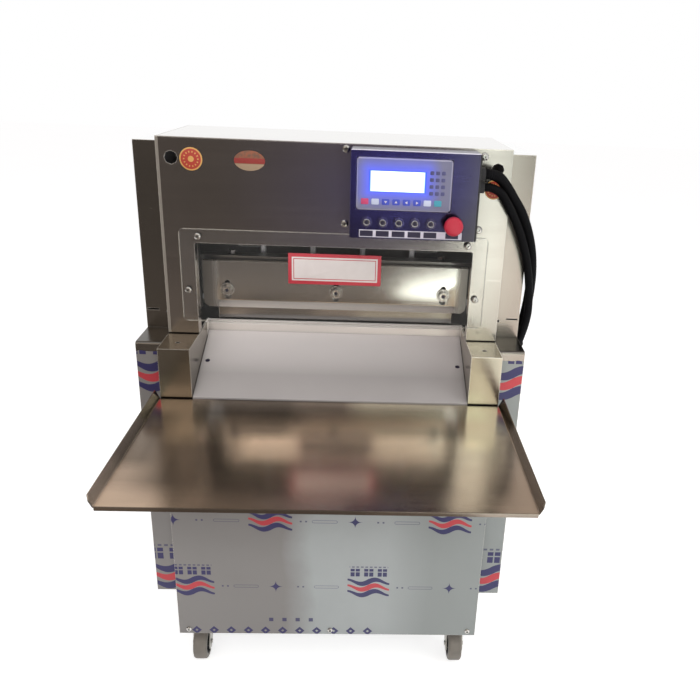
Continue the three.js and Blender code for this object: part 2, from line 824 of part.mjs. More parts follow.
// Carrier: a ribbed beam with end shoes that run on the guide rails and a pin at each end
function bladeCarrier() {
  const half = carrierHalf;
  const low = shoeLowLevel;
  const beam = outline([
    [carrierFront, low], [carrierFront + carrierRib, low],
    [carrierFront + carrierRib, shoeTopLevel - carrierFlange], [carrierBack, shoeTopLevel - carrierFlange],
    [carrierBack, shoeTopLevel], [carrierFront, shoeTopLevel],
  ]);
  const ribs = [];
  for (let i = 0; i <= laneCount; i += 1) {
    const x = (i - laneCount / 2) * lanePitch;
    ribs.push(alongX(outline([
      [carrierFront + carrierRib / 2, low], [carrierFront + carrierRib * 2, low],
      [carrierBack, shoeTopLevel - carrierFlange], [carrierBack, shoeTopLevel - carrierFlange / 2],
      [carrierFront + carrierRib / 2, shoeTopLevel - carrierFlange / 2],
    ]), x - carrierRib / 2, x + carrierRib / 2));
  }
  const shoeInner = railInner - running;
  const shoes = [-1, 1].map((sign) => {
    const behindRail = holderFront + railDepth + running;
    const block = alongZ(outline([
      [half - shoeReach, carrierFront], [shoeInner, carrierFront],
      [shoeInner, behindRail], [shoeInner + shoeLap, behindRail],
      [shoeInner + shoeLap, carrierBack], [half - shoeReach, carrierBack],
    ]), low, shoeTopLevel);
    const pin = rodAlongX(pinRadius, shoeInner, rodOuter + running, driveDepth, pinLevel);
    const solid = join(block, pin);
    return sign > 0 ? solid : mirrored(solid);
  });
  const screws = [-1, 1].map((sign) => rod(capScrewRadius, shoeTopLevel - seat,
    shoeTopLevel + capScrewHeight, hexSides)
    .translate([sign * (half - capScrewInset), (carrierFront + carrierBack) / 2, 0]));
  const bores = boltPlaces().map((x) => rodAlongY(boltRadius + running, carrierFront - overrun,
    carrierFront + boltBite + running, x, boltLevel, smallSides));
  return cut(join(alongX(beam, -half, half), ...ribs, ...shoes, ...screws), ...bores);
}

// Guide rail with a groove down each flank, on the inner face of a side frame
function guideRail() {
  const x1 = cheekInner - seat;
  const x0 = railInner;
  const y0 = holderFront;
  const y1 = y0 + railDepth;
  const grooveFrom = x0 + railGroove;
  const grooveTo = grooveFrom + railGroove * 2;
  const middle = (grooveFrom + grooveTo) / 2;
  return alongZ(outline([
    [x0, y0], [grooveFrom, y0], [middle, y0 + railGroove], [grooveTo, y0], [x1, y0],
    [x1, y1], [grooveTo, y1], [middle, y1 - railGroove], [grooveFrom, y1], [x0, y1],
  ]), railLowLevel, railTopLevel);
}

// Crank drive
function crankshaft() {
  return rodAlongX(shaftRadius, -crankOuter + crankHubStep, crankOuter - crankHubStep, 0, 0);
}

// Crank disc for the right side, about the shaft's axis, with its pin at the bottom
function crankDisc() {
  const bore = boreFor(shaftRadius, seat, fineSides);
  const body = turned([
    [bore, crankInner - crankHubStep], [crankHub, crankInner - crankHubStep],
    [crankHub, crankInner], [crankRadius - crankHubStep, crankInner],
    [crankRadius, crankInner + crankHubStep], [crankRadius, crankOuter - crankHubStep],
    [crankRadius - crankHubStep, crankOuter], [bore, crankOuter],
  ], fineSides);
  const pin = rod(crankPinRadius, crankOuter - overrun, crankPinFace).translate([crankThrow, 0, 0]);
  const eyes = [];
  for (let i = 1; i <= crankEyeCount; i += 1) {
    const angle = (i * Math.PI * 2) / (crankEyeCount + 1);
    eyes.push(rod(crankEyeRadius, crankInner - overrun, crankOuter + overrun, smallSides)
      .translate([crankEyeOut * Math.cos(angle), crankEyeOut * Math.sin(angle), 0]));
  }
  return turnToX(cut(join(body, pin), ...eyes));
}

// Connecting rod for the right side: rings joined by a shank with a hollow on its outer face
function connectingRod() {
  const big = rod(rodBigRadius, rodInner, rodOuter);
  const small = rod(rodSmallRadius, rodInner, rodOuter);
  const half = rodShank / 2;
  const land = half - rodWebMargin;
  const shank = box(0, rodLength, -half, half, rodInner, rodOuter);
  const hollow = alongZ(roundedRect(rodSmallRadius + rodWebLand, rodLength - rodBigRadius - rodWebLand,
    -land, land, land - seat), rodInner + rodWeb, rodOuter + overrun, cornerSides);
  const eye = rod(boreFor(pinRadius, seat, roundSides), rodInner - overrun, rodOuter + overrun);
  const cap = rod(rodCapRadius, rodOuter - sheet, rodOuter + overrun).translate([rodLength, 0, 0]);
  return turnToX(cut(join(small, shank, big.translate([rodLength, 0, 0])), hollow, eye, cap));
}

// A belt wheel with two flanges, about Z, centred on its width
function beltWheel(radius, width, inner, hub, web) {
  const half = width / 2;
  const belt = half - flange;
  const rim = radius - wheelRim;
  const lip = radius + flangeWall;
  return turned([
    [inner, -half], [hub, -half], [hub, -web / 2], [rim, -web / 2], [rim, -half],
    [lip, -half], [lip, -belt], [radius, -belt], [radius, belt], [lip, belt], [lip, half], [rim, half],
    [rim, web / 2], [hub, web / 2], [hub, half], [inner, half],
  ], fineSides);
}

function flywheelPulley() {
  const bore = boreFor(shaftRadius, seat, fineSides);
  const wheel = beltWheel(wheelRadius, wheelWidth, bore, wheelHub, wheelWeb);
  const eyeOut = (wheelHub + wheelRadius - wheelRim) / 2;
  const eyes = [];
  for (let i = 0; i < wheelEyeCount; i += 1) {
    const angle = (i * Math.PI * 2) / wheelEyeCount;
    eyes.push(rod(wheelEyeRadius, -wheelWidth, wheelWidth, smallSides)
      .translate([eyeOut * Math.cos(angle), eyeOut * Math.sin(angle), 0]));
  }
  return turnToX(cut(wheel, ...eyes));
}

function motorPulley() {
  const half = wheelWidth / 2;
  const belt = half - flange;
  const top = motorPulleyRadius + flangeWall;
  const reach = half + motorGap + motorShaftBite;
  const solid = turned([
    [0, -half], [top, -half], [top, -belt], [motorPulleyRadius, -belt], [motorPulleyRadius, belt],
    [top, belt], [top, half], [motorShaftRadius, half], [motorShaftRadius, reach], [0, reach],
  ]);
  return turnToX(solid);
}

// Belt loop round both pulleys, as two tangent runs and two arcs in (y, z)
function driveBelt() {
  const dy = motorDepth - driveDepth;
  const dz = motorLevel - crankLevel;
  const span = Math.hypot(dy, dz);
  const heading = Math.atan2(dz, dy);
  const spread = Math.acos((wheelRadius - motorPulleyRadius) / span);
  const wide = (radius, sweep) => radius / Math.cos(sweep / (2 * beltSides));
  const bigSweep = Math.PI * 2 - spread * 2;
  const loop = (Path, grow) => {
    const path = new Path();
    const big = wide(wheelRadius + grow, bigSweep);
    const little = wide(motorPulleyRadius + grow, spread * 2);
    path.absarc(driveDepth, crankLevel, big, heading + spread, heading + spread + bigSweep);
    path.absarc(motorDepth, motorLevel, little, heading - spread, heading + spread);
    return path;
  };
  const shape = loop(THREE.Shape, seat + beltThick);
  shape.holes.push(loop(THREE.Path, seat));
  return alongX(shape, wheelCentre - beltWidth / 2, wheelCentre + beltWidth / 2, beltSides);
}

// Foot-mounted motor with cooling fins, its shaft end towards the pulley
function driveMotor() {
  const start = wheelCentre + wheelWidth / 2 + motorGap;
  const end = start + motorLength;
  const floor = frameLevel + frameHeight + seat;
  const drum = turned([
    [0, start], [motorRadius - motorEnd, start], [motorRadius - motorFin, start + motorEnd],
    [motorRadius - motorFin, end - motorEnd], [motorRadius - motorEnd, end], [0, end],
  ]);
  const fins = [];
  for (let i = 0; i < motorFinCount; i += 1) {
    const fin = box(0, motorRadius, -motorFinWidth / 2, motorFinWidth / 2, start + motorEnd,
      end - motorEnd);
    fins.push(fin.rotate([0, 0, (i * quarter * 4) / motorFinCount]));
  }
  const bore = rod(boreFor(motorShaftRadius, seat, roundSides), start - overrun,
    start + motorShaftBite + running);
  const body = turnToX(cut(join(drum, ...fins), bore)).translate([0, motorDepth, motorLevel]);
  const foot = box(start + motorFootInset, end - motorFootInset, motorDepth - motorFootWidth / 2,
    motorDepth + motorFootWidth / 2, floor, floor + motorFootThick);
  const webs = [-1, 1].map((side) => {
    const y = motorDepth + side * motorFootWeb * 2;
    return box(start + motorFootInset, end - motorFootInset, y - motorFootWeb / 2, y + motorFootWeb / 2,
      floor, motorLevel - motorRadius / 2);
  });
  const middle = (start + end) / 2;
  const crown = motorLevel + motorRadius;
  const terminals = box(middle - motorBoxWidth / 2, middle + motorBoxWidth / 2,
    motorDepth - motorBoxDepth / 2, motorDepth + motorBoxDepth / 2, crown - motorFin * 2,
    crown + motorBoxHeight);
  return join(body, foot, ...webs, terminals);
}

// Feed bed: deck, knife edge, trough, dividers and the two plates that carry the screw and rod
function feedTable() {
  const deckHalf = cheekInner - seat;
  const deckEnd = cabinetBehind - panelReturn - seat;
  const deck = box(-deckHalf, deckHalf, bedFront, deckEnd, deckLevel - deckThick, deckLevel);
  const knife = box(-knifeHalf, knifeHalf, bedFront, bedFront + knifeDepth,
    deckLevel - seat, bedLevel);
  const floor = box(-troughHalf, troughHalf, bedFront, bedEnd + seat, deckLevel - seat, bedLevel);
  const walls = [-1, 1].map((side) => {
    const wall = new THREE.Shape();
    wall.moveTo(troughStart, bedLevel - seat);
    wall.lineTo(bedEnd + seat, bedLevel - seat);
    wall.lineTo(bedEnd + seat, bedLevel + troughHeight);
    wall.lineTo(troughStart + troughFlare, bedLevel + troughHeight);
    wall.absarc(troughStart + troughFlare, bedLevel + troughHeight - troughFlare, troughFlare,
      Math.PI / 2, Math.PI);
    const inner = troughHalf - troughWall;
    const plate = alongX(wall, inner, troughHalf, smallSides / 2);
    const lip = box(inner, troughHalf + troughLip, troughStart + troughFlare, bedEnd + seat,
      bedLevel + troughHeight - troughWall, bedLevel + troughHeight);
    const solid = join(plate, lip);
    return side > 0 ? solid : mirrored(solid);
  });
  const dividers = [];
  for (let i = 1; i < laneCount; i += 1) {
    const x = (i - laneCount / 2) * lanePitch;
    const fin = new THREE.Shape();
    fin.moveTo(troughStart, bedLevel - seat);
    fin.lineTo(bedEnd + seat, bedLevel - seat);
    fin.lineTo(bedEnd + seat, bedLevel + dividerHeight);
    fin.lineTo(troughStart + dividerHeight, bedLevel + dividerHeight);
    fin.absarc(troughStart + dividerHeight, bedLevel, dividerHeight, Math.PI / 2, Math.PI);
    dividers.push(alongX(fin, x - dividerThick / 2, x + dividerThick / 2, smallSides / 2));
  }
  const plateHalf = screwOffset + feedMotorSize / 2;
  const endPlateBack = endPlateY + endPlateThick;
  const endPlate = box(-plateHalf, plateHalf, endPlateY, endPlateBack, endPlateLow, endPlateTop);
  const brackets = [-1, 1].map((side) => {
    const x = side * screwOffset;
    const block = new THREE.Shape();
    block.moveTo(x - bracketWidth / 2, deckLevel - seat);
    block.lineTo(x + bracketWidth / 2, deckLevel - seat);
    block.lineTo(x + bracketWidth / 2, screwLevel);
    block.absarc(x, screwLevel, bracketRise, 0, Math.PI);
    return alongY(block, bracketBack, bracketBack + bracketDepth, smallSides);
  });
  const journalBore = boreFor(journalRadius, seat, smallSides);
  const screwBore = rodAlongY(journalBore, bracketBack - overrun, endPlateBack + overrun,
    screwOffset, screwLevel, smallSides);
  const rodBore = rodAlongY(guideRodRadius + seat, bracketBack + overrun, endPlateY + overrun,
    -screwOffset, screwLevel, smallSides);
  return cut(join(deck, knife, floor, ...walls, ...dividers, endPlate, ...brackets), screwBore, rodBore);
}

function guideRod() {
  return rodAlongY(guideRodRadius, bracketBack + overrun + seat, endPlateY + overrun - seat,
    -screwOffset, screwLevel, smallSides);
}

// Lead screw about its own axis, from the front bracket to the motor
function leadScrew() {
  const from = bracketBack + bracketDepth + seat;
  const to = endPlateY - seat;
  const head = from - journalLength;
  const tail = to + endPlateThick;
  return turnToFront(turned([
    [0, -tail], [journalRadius, -tail], [journalRadius, -to], [screwRadius, -to],
    [screwRadius, -from], [journalRadius, -from], [journalRadius, -head], [0, -head],
  ], smallSides));
}

function feedMotor() {
  const half = feedMotorSize / 2;
  const body = alongY(roundedRect(-half, half, -half, half, feedMotorCorner), feedMotorY,
    feedMotorY + feedMotorLength, cornerSides);
  const step = feedMotorLength * feedMotorGrooveShare;
  const groove = (y) => cut(
    alongY(roundedRect(-half - overrun, half + overrun, -half - overrun, half + overrun, feedMotorCorner),
      y, y + feedMotorGroove, cornerSides),
    alongY(roundedRect(-half + feedMotorGroove, half - feedMotorGroove,
      -half + feedMotorGroove, half - feedMotorGroove, feedMotorCorner),
    y - overrun, y + overrun, cornerSides));
  const bore = rodAlongY(boreFor(journalRadius, seat, smallSides), feedMotorY - overrun,
    feedMotorY + journalLength, 0, 0, smallSides);
  return cut(body, groove(feedMotorY + step), groove(feedMotorY + feedMotorLength - step), bore);
}

// Pusher: a bar over the trough with a nut on the screw, a bearing on the rod and one pad per lane
function pusherBody() {
  const barTop = pusherBarLow + pusherBarHeight;
  const ends = screwOffset + pusherNutRadius;
  const bar = box(-ends, ends, pusherRest, pusherRest + pusherBarDepth, pusherBarLow, barTop);
  const hangers = [-1, 1].map((side) => {
    const x = side * screwOffset;
    const shape = new THREE.Shape();
    shape.moveTo(x - pusherNutRadius, barTop);
    shape.absarc(x, screwLevel, pusherNutRadius, Math.PI, Math.PI * 2);
    shape.lineTo(x + pusherNutRadius, barTop);
    return alongY(shape, pusherRest, pusherRest + pusherNut, smallSides);
  });
  const pads = [];
  const padBottom = bedLevel + pusherClear;
  const padFront = pusherRest - pusherArm;
  for (let i = 0; i < laneCount; i += 1) {
    const x = (i - (laneCount - 1) / 2) * lanePitch;
    const pad = alongY(roundedRect(x - pusherPadWidth / 2, x + pusherPadWidth / 2, padBottom,
      padBottom + pusherPadHeight, feedMotorCorner), padFront, padFront + pusherPadThick, cornerSides);
    const arm = alongX(outline([
      [padFront + pusherPadThick / 2, padBottom + pusherPadHeight - pusherArmHeight * 2],
      [padFront + pusherPadThick + pusherArmHeight, padBottom + pusherPadHeight - pusherArmHeight],
      [pusherRest + pusherBarDepth / 2, pusherBarLow + seat],
      [pusherRest + pusherBarDepth / 2, barTop - seat],
      [padFront + pusherPadThick / 2, padBottom + pusherPadHeight - seat],
    ]), x - pusherArmWidth / 2, x + pusherArmWidth / 2);
    pads.push(join(pad, arm));
  }
  const from = pusherRest - overrun;
  const to = pusherRest + pusherNut + overrun;
  const nutBore = boreFor(screwRadius, seat, smallSides);
  const screwBore = rodAlongY(nutBore, from, to, screwOffset, screwLevel, smallSides);
  const rodBore = rodAlongY(guideRodRadius + running, from, to, -screwOffset, screwLevel, smallSides);
  return cut(join(bar, ...hangers, ...pads), screwBore, rodBore);
}

// Press beam: a wall with two openings and a shelf with one bush per press
function pressBeam() {
  const half = cheekInner - seat;
  const shelfTop = beamShelfLevel + beamShelfThick;
  const wall = outline([
    [beamShelfFront, beamShelfLevel], [beamBack, beamShelfLevel], [beamBack, beamLow],
    [beamBack + beamThick, beamLow], [beamBack + beamThick, shelfTop], [beamShelfFront, shelfTop],
  ]);
  const eyes = [-1, 1].map((side) => alongY(roundedRect(side * beamEyeOffset - beamEyeWidth / 2,
    side * beamEyeOffset + beamEyeWidth / 2, beamEyeLevel, beamEyeLevel + beamEyeHeight, windowCorner),
  beamBack - overrun, beamBack + beamThick + overrun, cornerSides));
  const bushes = lanePlaces().map((x) => rod(bushRadius, shelfTop - seat, shelfTop + bushHeight, smallSides)
    .translate([x, pressDepth, 0]));
  const bores = lanePlaces().map((x) => rod(pressRodRadius + running, beamShelfLevel - overrun,
    shelfTop + bushHeight + overrun, smallSides).translate([x, pressDepth, 0]));
  return cut(join(alongX(wall, -half, half), ...bushes), ...eyes, ...bores);
}

function lanePlaces() {
  return Array.from({ length: laneCount }, (unused, i) => (i - (laneCount - 1) / 2) * lanePitch);
}

// Press for one lane: a foot with turned-up ends, a collar and a rod, about the rod's axis
function pressFoot() {
  const low = bedLevel + pressFootRise;
  const half = pressFootDepth / 2;
  const flat = half - pressFootCurl;
  const curlTop = low + pressFootCurl + pressFootThick / 2;
  const sole = outline([
    [-flat, low], [flat, low], [half, low + pressFootCurl], [half, curlTop],
    [flat - seat, low + pressFootThick], [-flat + seat, low + pressFootThick],
    [-half, curlTop], [-half, low + pressFootCurl],
  ]);
  const foot = alongX(sole, -pressFootWidth / 2, pressFootWidth / 2);
  const collarTop = low + pressFootThick + pressCollarHeight;
  const stem = turned([
    [0, low + pressFootThick / 2], [pressCollarRadius, low + pressFootThick / 2],
    [pressCollarRadius, collarTop], [pressRodRadius, collarTop],
    [pressRodRadius, pressRodTop], [0, pressRodTop],
  ], smallSides);
  return join(foot, stem);
}

function bladeGuard() {
  const half = guardHalf;
  const sheetShape = roundedRect(-half, half, guardLow, guardTop, guardCorner);
  return alongY(sheetShape, -seat - guardThick, -seat, cornerSides * 2);
}

// Control box with bezels for the buttons, a collar for the stop button and two glands
function controlBox() {
  const top = boxLow + boxHeight;
  const body = alongY(roundedRect(boxLeft, boxRight, boxLow, top, boxCorner), boxFront, boxBase,
    cornerSides);
  const bezels = buttonPlaces().map((x) => rodAlongY(bezelRadius, boxFront - bezelHeight,
    boxFront + overrun, x, buttonLevel, smallSides));
  const bores = buttonPlaces().map((x) => rodAlongY(buttonRadius + seat, boxFront - bezelHeight - overrun,
    boxFront + buttonHole, x, buttonLevel, smallSides));
  const collar = rodAlongY(stopCollarRadius, boxFront - stopCollarHeight, boxFront + overrun,
    boxLeft + stopOffset, buttonLevel, roundSides);
  const stopBore = rodAlongY(stopNeck + seat, boxFront - stopCollarHeight - overrun,
    boxFront + stopBite + stopTravel + running, boxLeft + stopOffset, buttonLevel);
  const recess = box(boxLeft + displayInset - seat, boxLeft + displayInset + displayWidth + seat,
    boxFront - overrun, boxFront + displaySink, top - displayDrop - displayHeight - seat,
    top - displayDrop + seat);
  const glands = conduitStarts().map(([y, z, radius]) => rodAlongX(radius + glandWall,
    boxRight - overrun, boxRight + glandLength, y, z, hexSides));
  return cut(join(body, ...bezels, collar, ...glands), ...bores, stopBore, recess);
}

function buttonPlaces() {
  return Array.from({ length: buttonCount }, (unused, i) => boxLeft + buttonStart + i * buttonPitch);
}

// Display panel: a bevelled slab with a sunk screen
function displayPanel() {
  const x0 = boxLeft + displayInset;
  const x1 = x0 + displayWidth;
  const z1 = boxLow + boxHeight - displayDrop;
  const z0 = z1 - displayHeight;
  const back = boxFront + displaySink - seat;
  const front = back - displayThick;
  const geometry = new THREE.ExtrudeGeometry(roundedRect(x0 + displayBevel, x1 - displayBevel,
    z0 + displayBevel, z1 - displayBevel, displayBevel), {
    depth: displayThick - displayBevel, bevelEnabled: true, bevelThickness: displayBevel,
    bevelSize: displayBevel, bevelSegments: 2, curveSegments: cornerSides,
  });
  const slab = solidOf(geometry.rotateX(Math.PI / 2).translate(0, back, 0));
  const trimmed = slab.intersect(box(x0 - overrun, x1 + overrun, front, back, z0 - overrun, z1 + overrun));
  const screen = box(x0 + screenInset, x0 + screenInset + screenWidth, front - overrun, front + screenSink,
    z1 - screenDrop - screenHeight, z1 - screenDrop);
  return cut(trimmed, screen);
}

// Push button, its axis on Y, its dome to the front
function pushButton() {
  const front = bezelHeight + buttonProud;
  return turnToFront(turned([
    [0, -buttonBite], [buttonRadius, -buttonBite], [buttonRadius, front - buttonDome],
    [buttonRadius * buttonDomeShare, front - buttonDome * buttonEdgeShare], [0, front],
  ], smallSides));
}

function stopButton() {
  const base = stopCollarHeight + stopTravel;
  return turnToFront(turned([
    [0, -stopBite], [stopNeck, -stopBite], [stopNeck, base + seat],
    [stopRadius - stopEdge / 2, base + seat], [stopRadius, base + stopEdge],
    [stopRadius, base + stopHeight - stopEdge],
    [stopRadius - stopEdge / 2, base + stopHeight - stopEdge / 4], [0, base + stopHeight],
  ]));
}

// Where each conduit leaves the box's right side: depth, level, radius
function conduitStarts() {
  const y = boxFront + glandDepth;
  const z = boxLow + boxHeight - glandDrop;
  return [[y, z, conduitRadius], [y, z - glandPitch, conduitInnerRadius]];
}

// Conduit routes, held from the gland to the elbow on the side cover
function outerRoute() {
  const [y, z] = conduitStarts()[0];
  return [
    [boxRight + glandLength + running, y, z], [280, y, z], [296, -38, 1095], [311, -26, 1080],
    [331, -12, 1054], [351, 0, 1026], [369, 12, 989], [382.5, 22, 947], [389.4, 29.5, 905],
    [391.5, 37, 866], [392, 51, 824], [392.5, 74, 786], [392.5, 102, 760], [392.5, 126, 742],
  ];
}

function innerRoute() {
  const [y, z] = conduitStarts()[1];
  return [
    [boxRight + glandLength + running, y, z], [280, y, z], [298, -42, 1070], [315, -36, 1049],
    [333, -25, 1020], [350, -13, 988], [364, -2, 955], [374, 6, 925], [381.5, 12, 893],
    [387, 18, 858], [390.5, 26, 824], [391.5, 43, 790], [391.5, 64, 760], [391.5, 84, 735],
  ];
}

function tubeAlong(points, radius) {
  const curve = new THREE.CatmullRomCurve3(points.map((p) => new THREE.Vector3(...p)));
  const section = new THREE.Shape();
  for (let i = 0; i < conduitSides; i += 1) {
    const angle = (i * Math.PI * 2) / conduitSides;
    const u = radius * Math.cos(angle);
    const v = radius * Math.sin(angle);
    if (i === 0) section.moveTo(u, v);
    else section.lineTo(u, v);
  }
  const geometry = new THREE.ExtrudeGeometry(section, { steps: conduitSteps, extrudePath: curve });
  return solidOf(geometry);
}

// Elbow that turns a conduit into the cover's wall
function conduitElbow(points, radius) {
  const end = new THREE.Vector3(...points.at(-1));
  const before = new THREE.Vector3(...points.at(-2));
  const heading = end.clone().sub(before).setX(0).normalize();
  const start = end.clone().addScaledVector(heading, seat * 2);
  const wallX = outerHalf + seat;
  const corner = start.clone().addScaledVector(heading, elbowBend);
  const exit = corner.clone().setX(wallX + elbowFlangeThick / 2);
  const curve = new THREE.QuadraticBezierCurve3(start, corner, exit);
  const section = disc(0, 0, radius + elbowFlangeThick / 2);
  const bend = solidOf(new THREE.ExtrudeGeometry(section, {
    steps: elbowSteps, extrudePath: curve, curveSegments: smallSides,
  }));
  const nut = rodAlongX(radius + elbowFlangeThick, wallX, wallX + elbowFlangeThick, exit.y, exit.z,
    hexSides);
  return join(bend, nut);
}

// Casters
function casterPlaces() {
  const x = halfBody - casterInset;
  return [[-x, casterFront], [x, casterFront], [-x, casterBack], [x, casterBack]];
}

// Wheel about its own axle, with a dished face and a facet flat on the floor
function casterWheel() {
  const half = wheelTyreWidth / 2;
  const reach = boreFor(wheelTyreRadius, 0, tyreSides);
  const bore = boreFor(axleRadius, seat, tyreSides);
  const rim = reach - tyreShoulder;
  const dish = half - tyreDish;
  const solid = turned([
    [bore, -half], [tyreHubRadius, -half], [tyreHubRadius, -dish], [tyreRimRadius, -dish],
    [tyreRimRadius, -half], [rim, -half], [reach, -half + tyreShoulder], [reach, half - tyreShoulder],
    [rim, half], [tyreRimRadius, half], [tyreRimRadius, dish], [tyreHubRadius, dish],
    [tyreHubRadius, half], [bore, half],
  ], tyreSides);
  // A flat of the tread faces the floor
  const facet = (tyreSides / 2) % 2 === 0 ? (quarter * 2) / tyreSides : 0;
  return turnToX(solid.rotate([0, 0, facet]));
}

// Fork about its swivel axis: race, crown, two legs, axle and, at the front, a brake pedal
function casterFork(braked) {
  const top = frameLevel - casterPlateThick - seat;
  const crownLevel = top - raceHeight;
  const inner = wheelTyreWidth / 2 + running * 2;
  const race = turned([
    [0, crownLevel - forkWall], [raceRadius * raceTaperShare, crownLevel - forkWall],
    [raceRadius, crownLevel], [raceRadius, top - forkWall], [raceRadius * raceTaperShare, top], [0, top],
  ]);
  const crown = box(-inner - forkWall, inner + forkWall, -forkCrown / 2, forkCrown / 2,
    crownLevel - forkWall, crownLevel);
  const legs = [-1, 1].map((side) => {
    const leg = new THREE.Shape();
    leg.moveTo(forkCrown / 2, crownLevel);
    leg.lineTo(-forkCrown / 2, crownLevel);
    leg.lineTo(-casterTrail - forkLegWidth / 2, wheelTyreRadius);
    leg.absarc(-casterTrail, wheelTyreRadius, forkLegWidth / 2, Math.PI, Math.PI * 1.75);
    const x = side > 0 ? inner : -inner - forkWall;
    return alongX(leg, x, x + forkWall, smallSides / 2);
  });
  const axle = rodAlongX(axleRadius, -inner - forkWall * 2, inner + forkWall * 2, -casterTrail,
    wheelTyreRadius, smallSides);
  const pieces = [race, crown, ...legs, axle];
  if (braked) {
    const pedalY = forkCrown / 2 - forkWall;
    const tip = pedalY + pedalLength;
    pieces.push(alongX(outline([
      [pedalY, crownLevel - pedalDrop], [tip, crownLevel - pedalTip],
      [tip, crownLevel - pedalTip - pedalThick], [pedalY, crownLevel - pedalWeb - pedalThick / 2],
    ]), -pedalWidth / 2, pedalWidth / 2));
    pieces.push(box(-inner - forkWall, inner + forkWall, pedalY - forkWall, pedalY + forkWall,
      crownLevel - pedalWeb, crownLevel - forkWall / 2));
  }
  return join(...pieces);
}

// Assembly
const slicer = new THREE.Group();
slicer.position.set(0, -originY, 0);

function addPart(name, solid, material, place = [0, 0, 0], parent = slicer) {
  const mesh = solid.getMesh();
  const geometry = new THREE.BufferGeometry();
  geometry.setAttribute('position', new THREE.BufferAttribute(mesh.vertProperties, mesh.numProp));
  geometry.setIndex(new THREE.BufferAttribute(mesh.triVerts, 1));
  geometry.computeVertexNormals();
  const part = new THREE.Mesh(geometry, material);
  part.name = name;
  part.position.set(...place);
  parent.add(part);
  return part;
}

addPart('base_frame', baseFrame(), finishes.frame());
addPart('front_panel', frontPanel(), finishes.filmed());
addPart('back_panel', backPanel(), finishes.filmed());
addPart('right_side_frame', sideFrame(), finishes.frame());
addPart('left_side_frame', mirrored(sideFrame()), finishes.frame());
addPart('head_shell', headShell(), finishes.brushed());
addPart('right_side_cover', sideCover(), finishes.filmed());
addPart('left_side_cover', mirrored(sideCover()), finishes.filmed());
addPart('outlet_frame', outletFrame(), finishes.brushed());
addPart('outlet_board', outletBoard(), finishes.board());

const trayPart = addPart('discharge_tray', dischargeTray(), finishes.warmSteel(),
  [0, trayBackY, trayLevel]);
trayPart.rotation.x = Math.atan2(trayDrop, trayDepth);

addPart('blade_holder', bladeHolder(), finishes.steel());
addPart('blade', bladeSolid(), finishes.blade());
addPart('blade_carrier', bladeCarrier(), finishes.steel());
boltPlaces().forEach((x, i) => {
  addPart(`blade_bolt_${i + 1}`, bladeBolt(), finishes.chrome(), [x, holderFront - seat, boltLevel]);
});
addPart('right_guide_rail', guideRail(), finishes.steel());
addPart('left_guide_rail', mirrored(guideRail()), finishes.steel());

const crankGroup = new THREE.Group();
crankGroup.position.set(0, driveDepth, crankLevel);
slicer.add(crankGroup);
addPart('crankshaft', crankshaft(), finishes.steel(), [0, 0, 0], crankGroup);
addPart('right_crank_disc', crankDisc(), finishes.iron(), [0, 0, 0], crankGroup);
addPart('left_crank_disc', mirrored(crankDisc()), finishes.iron(), [0, 0, 0], crankGroup);
addPart('flywheel_pulley', flywheelPulley(), finishes.iron(), [wheelCentre, 0, 0], crankGroup);
addPart('right_connecting_rod', connectingRod(), finishes.steel(), [0, driveDepth, pinLevel]);
addPart('left_connecting_rod', mirrored(connectingRod()), finishes.steel(), [0, driveDepth, pinLevel]);
addPart('drive_belt', driveBelt(), finishes.rubber());
addPart('drive_motor', driveMotor(), finishes.motor());
addPart('motor_pulley', motorPulley(), finishes.iron(), [wheelCentre, motorDepth, motorLevel]);

addPart('feed_table', feedTable(), finishes.brushed());
addPart('guide_rod', guideRod(), finishes.chrome());
addPart('lead_screw', leadScrew(), finishes.chrome(), [screwOffset, 0, screwLevel]);
addPart('feed_motor', feedMotor(), finishes.rubber(), [screwOffset, 0, screwLevel]);
addPart('pusher', pusherBody(), finishes.brushed());
addPart('press_beam', pressBeam(), finishes.brushed());
lanePlaces().forEach((x, i) => {
  addPart(`press_foot_${i + 1}`, pressFoot(), finishes.chrome(), [x, pressDepth, 0]);
});

addPart('blade_guard', bladeGuard(), finishes.acrylic());
addPart('control_box', controlBox(), finishes.darkBox());
addPart('display_panel', displayPanel(), finishes.display());
buttonPlaces().forEach((x, i) => {
  addPart(`push_button_${i + 1}`, pushButton(), finishes.chrome(), [x, boxFront, buttonLevel]);
});
addPart('stop_button', stopButton(), finishes.red(), [boxLeft + stopOffset, boxFront, buttonLevel]);
addPart('conduit_outer', tubeAlong(outerRoute(), conduitRadius), finishes.conduit());
addPart('conduit_inner', tubeAlong(innerRoute(), conduitInnerRadius), finishes.conduit());
addPart('elbow_outer', conduitElbow(outerRoute(), conduitRadius), finishes.conduit());
addPart('elbow_inner', conduitElbow(innerRoute(), conduitInnerRadius), finishes.conduit());

casterPlaces().forEach(([x, y], i) => {
  const braked = y === casterFront;
  const fork = addPart(`caster_fork_${i + 1}`, casterFork(braked), finishes.zinc(), [x, y, 0]);
  addPart(`caster_wheel_${i + 1}`, casterWheel(), finishes.tyre(), [0, -casterTrail, wheelTyreRadius],
    fork);
});

export default slicer;
